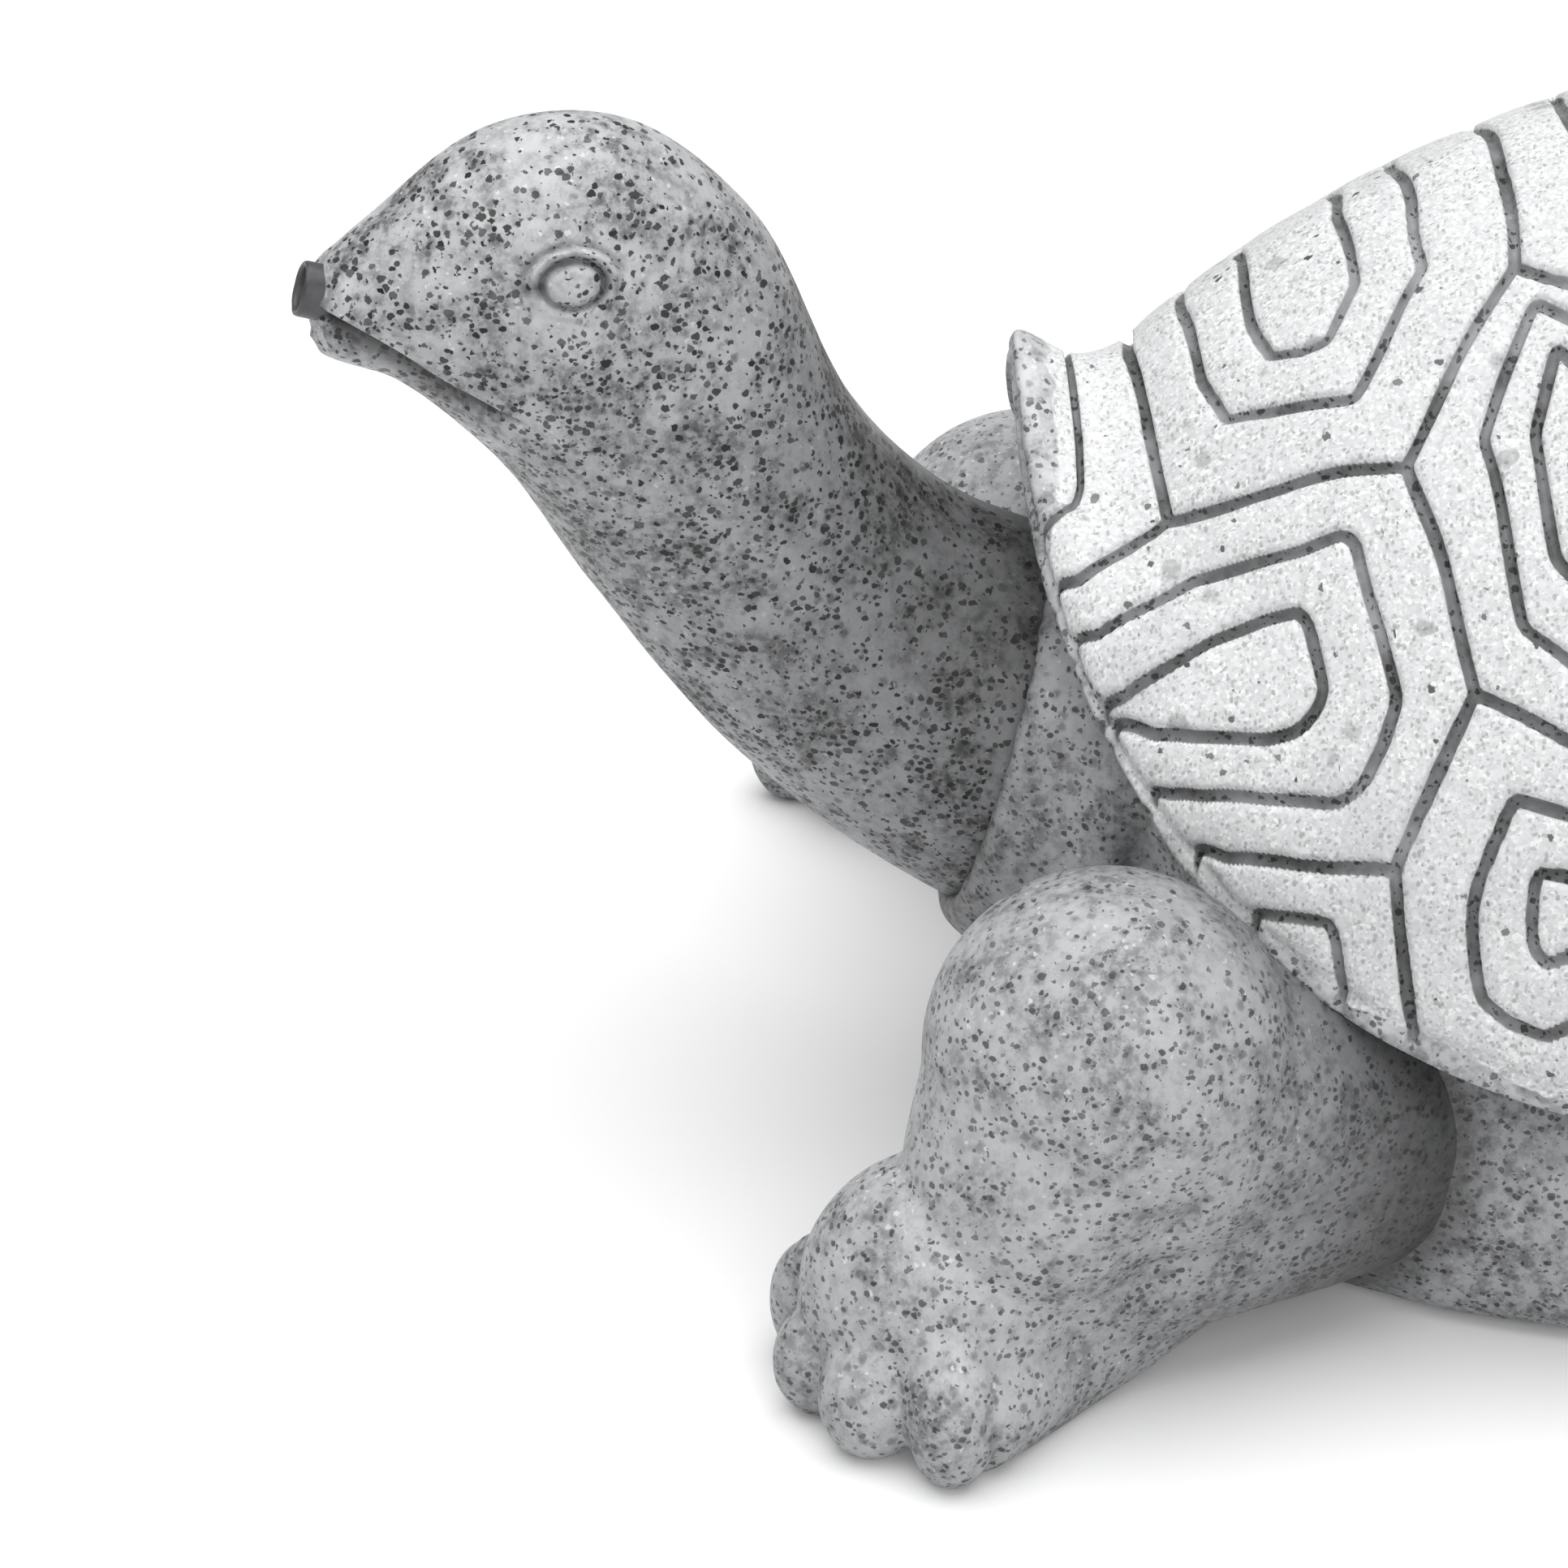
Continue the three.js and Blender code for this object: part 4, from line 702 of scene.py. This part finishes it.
def ball_mesh(centre, half, heading=0.0):
    polar = np.linspace(0, math.pi, BALL_ROWS + 2)[1:-1]
    around = np.linspace(0, 2 * math.pi, LIMB_COLUMNS, endpoint=False)
    x = np.sin(polar)[:, None] * np.cos(around) * half[0]
    y = np.sin(polar)[:, None] * np.sin(around) * half[1]
    z = np.cos(polar)[:, None] * np.ones(LIMB_COLUMNS) * half[2]
    c, s = math.cos(heading), math.sin(heading)
    points = np.stack([c * x - s * y, s * x + c * y, z], axis=-1).reshape(-1, 3)
    points = np.vstack([points, [[0, 0, half[2]]], [[0, 0, -half[2]]]]) + np.array(centre)
    return points, closed_faces(BALL_ROWS, LIMB_COLUMNS)


def limb_mesh(stations):
    shares = np.linspace(0, 1, LIMB_ROWS)
    spine = catmull_rom([at for at, _ in stations], shares)
    halves = catmull_rom([(*half, 0) for _, half in stations], shares)
    along = np.gradient(spine, axis=0)
    along /= np.linalg.norm(along, axis=1, keepdims=True)
    across = np.cross(along, [0, 0, 1])
    across /= np.linalg.norm(across, axis=1, keepdims=True)
    up = np.cross(across, along)
    around = np.linspace(0, 2 * math.pi, LIMB_COLUMNS, endpoint=False)
    grid = (spine[:, None] + across[:, None] * (halves[:, :1] * np.sin(around))[..., None]
            + up[:, None] * (halves[:, 1:2] * np.cos(around))[..., None])
    points = np.vstack([grid.reshape(-1, 3), spine[:1], spine[-1:]])
    return points, closed_faces(LIMB_ROWS, LIMB_COLUMNS)


def joined(name, meshes):
    points, faces = [], []
    start = 0
    for part_points, part_faces in meshes:
        points.append(part_points)
        faces += [tuple(start + i for i in face) for face in part_faces]
        start += len(part_points)
    return mesh_object(name, np.vstack(points), faces)


def fuse(obj, voxel, smoothing):
    """One skin round everything in the object, with its inner corners filled a little."""
    remesh = obj.modifiers.new("skin", "REMESH")
    remesh.mode = "VOXEL"
    remesh.voxel_size = voxel * MM
    soften = obj.modifiers.new("soften", "SMOOTH")
    soften.factor = 0.5
    soften.iterations = smoothing
    apply_modifiers(obj)


def vertex_values(obj, name):
    values = np.empty(3 * len(obj.data.vertices))
    obj.data.vertices.foreach_get(name, values)
    return values.reshape(-1, 3)


def hand_finish(obj, swell):
    """Cast unevenness, a little swelling back after the smoothing, and a flat rest on the ground."""
    points, normals = vertex_values(obj, "co"), vertex_values(obj, "normal")
    mm = points / MM
    lift = swell + 0.25 * waves(mm, 15.0, 7.0) + 0.05 * waves(mm, 3.5, 9.0)
    points = points + normals * (lift * MM)[:, None]
    points[:, 2] = np.maximum(points[:, 2], 0)
    obj.data.vertices.foreach_set("co", points.ravel())
    obj.data.update()


def paint_shade_and_grime(obj, others, reach, strength):
    """Darkens the places of a piece that lie close to other pieces: painted shade where they meet or where
    the shell's rim overhangs them, with a little grime.
    """
    others = np.vstack([vertex_values(other, "co")[::4] for other in others])
    _, distance = nearest(others, vertex_values(obj, "co"))
    layer = obj.data.attributes.get("shade_and_dirt") or obj.data.attributes.new("shade_and_dirt", "FLOAT", "POINT")
    values = np.empty(len(distance), dtype=np.float32)
    layer.data.foreach_get("value", values)
    values = np.maximum(values, strength * ridge(distance / MM, 0, reach))
    layer.data.foreach_set("value", values.astype(np.float32))


def leg(name, shape, side):
    """Balls and limbs in one skin: side is 1 for a left leg and -1 for a right one."""
    def mirror(p):
        return np.array([side * p[0], p[1], p[2]], dtype=float)

    def ahead(degrees, distance, height):
        turn = math.radians(degrees)
        x, y, _ = shape["foot"]
        return mirror((x + distance * math.sin(turn), y - distance * math.cos(turn), height))

    root = (mirror(shape["root"]), shape["root_half"])
    radius, ankle = shape["shoulder_radius"], shape["ankle_radius"]
    upper, upper_half = shape["upper_arm"]
    last, last_reach = shape["toes"][-1]
    meshes = [
        limb_mesh([root, (mirror(upper), upper_half)]),
        ball_mesh(mirror(shape["shoulder"]), (radius, radius, radius)),
        limb_mesh([root, (mirror(shape["heel"]), shape["heel_half"]),
                   (mirror(shape["foot"]), tuple(HEEL_INTO_FOOT * h for h in shape["foot_half"][1:]))]),
        ball_mesh(mirror(shape["foot"]), shape["foot_half"]),
        limb_mesh([(mirror(shape["shoulder"]), (radius, radius)), (mirror(shape["ankle"]), (ankle, ankle)),
                   (mirror(shape["foot"]), (ankle / 2, ankle / 2))]),
        limb_mesh([(ahead(last, last_reach - SOLE_BACK, SOLE_HEIGHT), shape["sole_tip"]),
                   (mirror(shape["sole"]), shape["sole_half"]),
                   (mirror(shape["heel"]), tuple(HEEL_INTO_SOLE * h for h in shape["heel_half"]))]),
    ]
    high = shape["toe_height"]
    for (degrees, reach), (wide, narrow, lift) in zip(shape["toes"], shape["toe_forms"]):
        tip = narrow, TIP_HALF * high + lift / 2
        turn = math.radians(degrees)
        heading = math.atan2(-math.cos(turn), side * math.sin(turn))
        meshes.append(limb_mesh([
            (ahead(degrees, TOE_START, high + ROOT_RISE), (ROOT_WIDENING * wide, high + TOE_CROWN)),
            (ahead(degrees, reach - KNUCKLE_BACK, high + KNUCKLE_RISE), (wide, high + TOE_CROWN)),
            (ahead(degrees, reach - TIP_BACK, TIP_LEVEL * high + lift / 2), tip),
        ]))
        end = ahead(degrees, reach - END_BACK, END_LEVEL * high + lift / 2)
        meshes.append(ball_mesh(end, (TOE_END_HALF, *tip), heading))
    obj = joined(name, meshes)
    fuse(obj, shape["voxel"], shape["smoothing"])
    hand_finish(obj, LEG_SWELL)
    return obj


def recast(node, name, voxel, smoothing, swell):
    """A smooth casting made from a copy of a CAD node."""
    obj = bpy.data.objects.new(name, nodes[node].data.copy())
    scene.collection.objects.link(obj)
    fuse(obj, voxel, smoothing)
    hand_finish(obj, swell)
    return obj


def spout():
    """A tube with a roughly cut end."""
    level = math.cos(SPOUT_PITCH)
    forward = np.array([math.sin(SPOUT_YAW) * level, -math.cos(SPOUT_YAW) * level, math.sin(SPOUT_PITCH)])
    side = np.cross(forward, [0, 0, 1])
    side /= np.linalg.norm(side)
    up = np.cross(side, forward)
    end, wall, bore = SPOUT_LENGTH, SPOUT_RADIUS, SPOUT_BORE
    outside = [(0, wall), (20, wall), (34, wall), (37, wall)]
    cut = [(end - 0.7, wall), (end - 0.15, wall - 0.15), (end, wall - 0.4), (end - 0.1, bore + 0.2),
           (end - 0.7, bore)]
    outline = [*outside, *cut, (30, bore), (0, bore)]
    around = np.linspace(0, 2 * math.pi, SPOUT_COLUMNS, endpoint=False)
    start = SPOUT_END - forward * SPOUT_LENGTH
    grid = np.array([[start + forward * a + (side * math.cos(t) + up * math.sin(t)) * r for t in around]
                     for a, r in outline])
    rough = slice(len(outside), len(outside) + len(cut))
    grid[rough] += forward * (0.12 * waves(grid, 2.2, 3.0)[rough])[..., None]
    faces = grid_faces(len(outline), SPOUT_COLUMNS)
    last = (len(outline) - 1) * SPOUT_COLUMNS
    turned = [(i + 1) % SPOUT_COLUMNS for i in range(SPOUT_COLUMNS)]
    faces += [(last + i, last + j, j, i) for i, j in enumerate(turned)]
    return mesh_object("spout_tube_cut", grid.reshape(-1, 3), faces)


# Materials

class Paint:
    """A material with short helpers for its shader nodes."""

    def __init__(self, name):
        self.material = bpy.data.materials.new(name)
        self.material.use_nodes = True
        self.tree = self.material.node_tree
        self.shader = self.tree.nodes["Principled BSDF"]
        self.place = self.tree.nodes.new("ShaderNodeTexCoord").outputs["Object"]

    def put(self, socket, value):
        if isinstance(value, bpy.types.NodeSocket):
            self.tree.links.new(value, socket)
        elif isinstance(value, tuple) and len(value) == 3 and socket.type == "RGBA":
            socket.default_value = (*value, 1)
        else:
            socket.default_value = value

    def node(self, kind, inputs=None, **settings):
        made = self.tree.nodes.new(kind)
        for key, value in settings.items():
            setattr(made, key, value)
        for key, value in (inputs or {}).items():
            self.put(made.inputs[key], value)
        return made

    def math(self, operation, a, b):
        return self.node("ShaderNodeMath", {0: a, 1: b}, operation=operation).outputs[0]

    def times(self, a, b):
        return self.math("MULTIPLY", a, b)

    def vector(self, operation, inputs):
        return self.node("ShaderNodeVectorMath", inputs, operation=operation).outputs

    def noise(self, scale, detail, roughness=0.5):
        inputs = {"Vector": self.place, "Scale": scale, "Detail": detail, "Roughness": roughness}
        return self.node("ShaderNodeTexNoise", inputs).outputs["Fac"]

    def cells(self, scale, metric, vector):
        made = self.node("ShaderNodeTexVoronoi", {"Vector": vector, "Scale": scale}, distance=metric)
        split = self.node("ShaderNodeSeparateColor", {0: made.outputs["Color"]})
        return made.outputs["Distance"], split.outputs

    def stretched(self, scale, turn):
        inputs = {"Vector": self.place, "Scale": scale, "Rotation": turn}
        return self.node("ShaderNodeMapping", inputs).outputs[0]

    def wandering(self, amount, scale, base=None):
        """Coordinates pushed about by noise, for ragged outlines."""
        inputs = {"Vector": self.place, "Scale": scale, "Detail": 2.0}
        colour = self.node("ShaderNodeTexNoise", inputs).outputs["Color"]
        centred = self.vector("SUBTRACT", {0: colour, 1: (0.5, 0.5, 0.5)})[0]
        pushed = self.vector("SCALE", {0: centred, "Scale": amount})[0]
        return self.vector("ADD", {0: base or self.place, 1: pushed})[0]

    def span(self, value, low, high, to_low=0.0, to_high=1.0, smooth=True):
        kind = "SMOOTHSTEP" if smooth else "LINEAR"
        inputs = {"Value": value, "From Min": low, "From Max": high, "To Min": to_low, "To Max": to_high}
        return self.node("ShaderNodeMapRange", inputs, interpolation_type=kind).outputs[0]

    def mix(self, share, a, b):
        made = self.node("ShaderNodeMix", data_type="RGBA")
        self.put(made.inputs[0], share)
        self.put(made.inputs[6], a)
        self.put(made.inputs[7], b)
        return made.outputs[2]

    def attribute(self, name):
        return self.node("ShaderNodeAttribute", attribute_name=name).outputs["Fac"]

    def bump(self, height, strength, distance):
        inputs = {"Height": height, "Strength": strength, "Distance": distance}
        return self.node("ShaderNodeBump", inputs).outputs[0]

    def set(self, **inputs):
        for key, value in inputs.items():
            self.put(self.shader.inputs[key.replace("_", " ")], value)


def grey(value, tint=0.012):
    return (value * (1 - tint), value, value * (1 + 1.6 * tint))


def chip_layer(paint, scale, metric, present, size, edge, vector, crowd=None):
    """A mask of separate chips: which cells hold one, how large it is, and its soft edge."""
    distance, random = paint.cells(scale, metric, vector)
    radius = paint.span(random[1], 0, 1, size[0], size[1], smooth=False)
    inside = paint.math("SUBTRACT", radius, distance)
    mask = paint.span(inside, 0.0, edge)
    drawn = paint.math("ADD", random[0], crowd) if crowd else random[0]
    chosen = paint.span(drawn, 1 - present - 0.001, 1 - present)
    depth = paint.span(random[2], 0, 1, 0.72, 1.0, smooth=False)
    return paint.times(paint.times(mask, chosen), depth)


def granite_colour(paint, dark, light, bold, cluster, largest):
    """Cloudy grey resin with black, white and half-sunk chips that crowd together, fewer on top faces."""
    cloud = paint.noise(60, 4.0, 0.6)
    crowding = paint.noise(95, 3.0, 0.55)
    normal = paint.node("ShaderNodeNewGeometry").outputs["Normal"]
    facing_up = paint.node("ShaderNodeSeparateXYZ", {0: normal}).outputs[2]
    sparse = paint.span(facing_up, 0.4, 0.95, 0.5, 0.68)
    crowd = paint.times(paint.math("SUBTRACT", crowding, sparse), cluster)
    fine = paint.noise(420, 4.0, 0.7)
    colour = paint.mix(paint.span(cloud, 0.35, 0.62), grey(dark), grey(light))
    colour = paint.mix(paint.span(crowding, 0.46, 0.66, 0.0, 0.8 * bold), colour, grey(dark * 0.42))
    colour = paint.mix(paint.span(fine, 0.36, 0.6, 0.0, 0.55), colour, grey(light * 1.3))
    slanted = paint.wandering(0.0016, 750, paint.stretched((1.0, 1.2, 1.4), (0.5, 0.3, 0.2)))
    ragged = paint.wandering(0.0012, 1000)
    sunk = chip_layer(paint, 430, "EUCLIDEAN", 0.7, (0.24, 0.58), 0.35, ragged, crowd)
    colour = paint.mix(paint.times(sunk, 0.68 * bold), colour, grey(0.055))
    pale = chip_layer(paint, 720, "MANHATTAN", 0.62, (0.25, 0.6), 0.2, ragged)
    colour = paint.mix(paint.times(pale, 0.62), colour, grey(0.8))
    black = chip_layer(paint, 520, "EUCLIDEAN", 0.74, (0.2, largest), 0.1, slanted, crowd)
    small = chip_layer(paint, 720, "MANHATTAN", 0.6, (0.22, 0.56), 0.12, ragged, crowd)
    chips = paint.times(paint.math("MAXIMUM", black, small), bold)
    return paint.mix(chips, colour, grey(0.006)), chips


def granite(name, dark, light, bold, cluster, largest):
    """Cast stone, with painted shade darkening its creases, its mouth and where it meets other pieces, and
    some dirt.
    """
    paint = Paint(name)
    colour, chips = granite_colour(paint, dark, light, bold, cluster, largest)
    # Painted shade, with some dirt, taken from the darkening attribute of each piece
    colour = paint.mix(paint.times(paint.attribute("shade_and_dirt"), 0.88), colour, grey(0.025))
    grain = paint.noise(900, 3.0, 0.6)
    rough = paint.span(paint.noise(35, 2.0), 0.3, 0.7, 0.42, 0.58)
    height = paint.math("SUBTRACT", paint.times(grain, 0.5), paint.times(chips, 0.15))
    paint.set(Base_Color=colour, Roughness=rough, Specular_IOR_Level=0.35,
              Normal=paint.bump(height, 0.25, 0.0003))
    return paint.material


def sanded_granite():
    """Pale sanded stone with flecks, left as cast along the rim and dark in the grooves."""
    paint = Paint("granite_sanded")
    ragged = paint.wandering(0.0006, 1400)
    slanted = paint.wandering(0.0016, 750)
    _, flake = paint.cells(1650, "EUCLIDEAN", ragged)
    base = paint.mix(flake[0], grey(0.58, 0.006), grey(0.75, 0.006))
    bright = paint.span(flake[1], 0.84, 0.86)
    base = paint.mix(paint.times(bright, 0.6), base, grey(0.92, 0.0))
    patch = paint.span(paint.noise(38, 3.0, 0.5), 0.55, 0.74, 0.0, 0.35)
    base = paint.mix(patch, base, grey(0.5))
    blotch = chip_layer(paint, 150, "EUCLIDEAN", 0.22, (0.12, 0.4), 0.14, paint.wandering(0.003, 350))
    base = paint.mix(paint.times(blotch, 0.5), base, grey(0.2))
    crowd = paint.times(paint.math("SUBTRACT", paint.noise(110, 2.0, 0.5), 0.5), 0.8)
    along = paint.wandering(0.0008, 900, paint.stretched((1.0, 2.0, 1.3), (0.2, 0.6, 0.5)))
    across = paint.wandering(0.0008, 900, paint.stretched((2.0, 1.0, 1.2), (0.5, 0.1, 0.9)))
    fleck = chip_layer(paint, 600, "EUCLIDEAN", 0.55, (0.2, 0.5), 0.14, along, crowd)
    other = chip_layer(paint, 700, "EUCLIDEAN", 0.5, (0.2, 0.48), 0.16, across, crowd)
    chip = chip_layer(paint, 430, "EUCLIDEAN", 0.09, (0.14, 0.4), 0.1, slanted, crowd)
    flecks = paint.times(paint.math("MAXIMUM", fleck, other), 0.4)
    base = paint.mix(paint.math("MAXIMUM", flecks, chip), base, grey(0.06))
    cast, chips = granite_colour(paint, dark=0.3, light=0.54, bold=0.8, cluster=1.5, largest=0.5)
    tone = paint.span(paint.noise(34, 4.0, 0.65), 0.4, 0.68)
    floor = paint.mix(0.18, paint.mix(tone, grey(0.035), grey(0.3)), cast)
    wavy = paint.times(paint.math("SUBTRACT", paint.noise(95, 3.0, 0.6), 0.5), 8.0)
    in_from = paint.math("SUBTRACT", paint.attribute("from_rim"), paint.attribute("bare"))
    strip = paint.span(paint.math("ADD", in_from, wavy), 0.35, -0.35)
    base = paint.mix(strip, base, cast)
    groove = paint.span(paint.attribute("groove"), 0.25, 0.5)
    base = paint.mix(groove, base, paint.mix(chips, floor, grey(0.012)))
    grain = paint.noise(1100, 3.0, 0.6)
    height = paint.math("ADD", paint.times(grain, 0.5), paint.times(flake[2], 0.25))
    paint.set(Base_Color=base, Roughness=paint.span(flake[1], 0, 1, 0.5, 0.72, smooth=False),
              Specular_IOR_Level=0.3, Normal=paint.bump(height, 0.3, 0.0003))
    return paint.material


def plain(name, colour, rough, metal=0.0, grain=700.0, strength=0.15, blotch=0.35):
    paint = Paint(name)
    shade = paint.span(paint.noise(260, 4.0, 0.6), 0.3, 0.7, 1 - blotch, 1 + blotch, smooth=False)
    tinted = paint.vector("SCALE", {0: colour, "Scale": shade})[0]
    paint.set(Base_Color=tinted, Roughness=rough, Metallic=metal,
              Normal=paint.bump(paint.noise(grain, 3.0), strength, 0.0002))
    return paint.material


# Build

GRANITE = granite("granite_cast", dark=0.17, light=0.49, bold=1.0, cluster=2.6, largest=0.58)
GRANITE_LIGHT = granite("granite_cast_light", dark=0.25, light=0.45, bold=0.82, cluster=1.5, largest=0.48)
SANDED = sanded_granite()


def finish_piece(obj, material, slot, *replaced):
    obj.data.materials.clear()
    obj.data.materials.append(material)
    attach(obj, "root")
    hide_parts(*replaced)


shell = carapace()
neck = head_neck()
body = recast("body", "body_cast", voxel=2.0, smoothing=60, swell=0.25)
legs = {
    "front_left_leg": leg("front_left_leg_cast", FRONT_LEG, 1),
    "front_right_leg": leg("front_right_leg_cast", FRONT_RIGHT_LEG, -1),
    "rear_left_leg": leg("rear_left_leg_cast", REAR_LEG, 1),
    "rear_right_leg": leg("rear_right_leg_cast", REAR_LEG, -1),
}
tail = recast("tail", "tail_cast", voxel=1.0, smoothing=25, swell=0.3)
# Painted shade, with a little grime, where pieces meet and under the shell's overhanging rim
paint_shade_and_grime(neck, [body], reach=2.5, strength=0.7)
paint_shade_and_grime(neck, [shell], reach=48.0, strength=1.0)
paint_shade_and_grime(body, [neck, *legs.values()], reach=5.0, strength=0.8)
paint_shade_and_grime(body, [shell], reach=14.0, strength=0.5)
for piece in legs.values():
    paint_shade_and_grime(piece, [body], reach=34.0, strength=0.95)
    paint_shade_and_grime(piece, [shell], reach=13.0, strength=0.7)
finish_piece(shell, SANDED, "sanded_granite", "carapace")
finish_piece(neck, GRANITE, "granite", "head_neck")
finish_piece(body, GRANITE_LIGHT, "granite", "body")
finish_piece(tail, GRANITE, "granite", "tail")
for name, piece in legs.items():
    finish_piece(piece, GRANITE_LIGHT, "granite", name)
finish_piece(spout(), plain("tube_dark", (0.062, 0.062, 0.066), 0.42), "dark_tube", "spout_tube")

RUBBER = plain("hose_rubber", (0.02, 0.02, 0.02), 0.75)
STEEL = plain("clip_steel", (0.6, 0.61, 0.62), 0.3, metal=1.0, grain=400.0, strength=0.1, blotch=0.1)
PLASTIC = plain("plastic_black", (0.025, 0.025, 0.027), 0.4, grain=500.0, strength=0.08, blotch=0.2)
for names, material in (
    (("water_hose", "inlet_washer"), RUBBER),
    (("hose_clip",), STEEL),
    (("hose_tail", "inlet_lock_nut"), PLASTIC),
):
    for name in names:
        nodes[name].data.materials.clear()
        nodes[name].data.materials.append(material)


# Studio, in metres
FLOOR_SIZE, FLOOR_DROP = 12, 0.0002
FLOOR_LIT, FLOOR_SEEN = (0.6, 0.6, 0.605), (0.93, 0.93, 0.935)
GLOW_START, GLOW_FULL = 0.7, 2.0
GLOW_NEAR, GLOW_FAR = 0.06, 0.9
WORLD_LIGHT, WORLD_SEEN = 0.32, 1.0
CAMERA_AZIMUTH, CAMERA_ELEVATION = math.radians(88.3), math.radians(27)
CAMERA_TARGET = Vector((0, SHELL_MIDDLE - 0.1785, 0.062))
CAMERA_DISTANCE = 1.0
LENS, SENSOR = 128.57, 36
KEY = {"place": (0.05, -0.1, 2.4), "target": (0, -0.05, 0.08), "size": 3.4, "power": 72}
FILL = {"place": (1.9, 0.1, 1.0), "target": (0, 0, 0.08), "size": 1.6, "power": 14}


def floor():
    bpy.ops.mesh.primitive_plane_add(size=FLOOR_SIZE, location=(0, 0, -FLOOR_DROP))
    obj = bpy.context.object
    obj.name = "floor"
    paint = Paint("floor_white")
    path = paint.node("ShaderNodeLightPath").outputs
    mirrored = paint.math("MAXIMUM", path["Is Glossy Ray"], path["Is Transmission Ray"])
    seen = paint.math("MAXIMUM", path["Is Camera Ray"], mirrored)
    away = paint.vector("LENGTH", {0: paint.place})["Value"]
    glow = paint.span(away, GLOW_START, GLOW_FULL, GLOW_NEAR, GLOW_FAR)
    paint.set(Base_Color=paint.mix(seen, FLOOR_LIT, FLOOR_SEEN), Roughness=0.9, Specular_IOR_Level=0.1,
              Emission_Color=(1.0, 1.0, 1.0), Emission_Strength=paint.times(seen, glow))
    obj.data.materials.append(paint.material)


def area_light(name, place, target, size, power):
    light = bpy.data.lights.new(name, "AREA")
    light.shape = "DISK"
    light.size = size
    light.energy = power
    obj = bpy.data.objects.new(name, light)
    scene.collection.objects.link(obj)
    obj.location = place
    obj.rotation_euler = (Vector(target) - Vector(place)).to_track_quat("-Z", "Y").to_euler()


def world():
    made = bpy.data.worlds.new("studio")
    scene.world = made
    made.use_nodes = True
    tree = made.node_tree
    background = tree.nodes["Background"]
    background.inputs["Color"].default_value = (1, 1, 1, 1)
    strength = tree.nodes.new("ShaderNodeMapRange")
    strength.inputs["To Min"].default_value = WORLD_LIGHT
    strength.inputs["To Max"].default_value = WORLD_SEEN
    path = tree.nodes.new("ShaderNodeLightPath").outputs
    tree.links.new(path["Is Camera Ray"], strength.inputs["Value"])
    tree.links.new(strength.outputs[0], background.inputs["Strength"])


def camera():
    level = math.cos(CAMERA_ELEVATION)
    back = Vector((math.sin(CAMERA_AZIMUTH) * level, -math.cos(CAMERA_AZIMUTH) * level,
                   math.sin(CAMERA_ELEVATION)))
    data = bpy.data.cameras.new("camera")
    data.sensor_width = SENSOR
    data.lens = LENS
    data.clip_end = 50
    obj = bpy.data.objects.new("camera", data)
    scene.collection.objects.link(obj)
    obj.location = CAMERA_TARGET + CAMERA_DISTANCE * back
    obj.rotation_euler = (-back).to_track_quat("-Z", "Y").to_euler()
    scene.camera = obj


floor()
world()
camera()
scene.view_settings.view_transform = "Standard"
area_light("key", **KEY)
area_light("fill", **FILL)
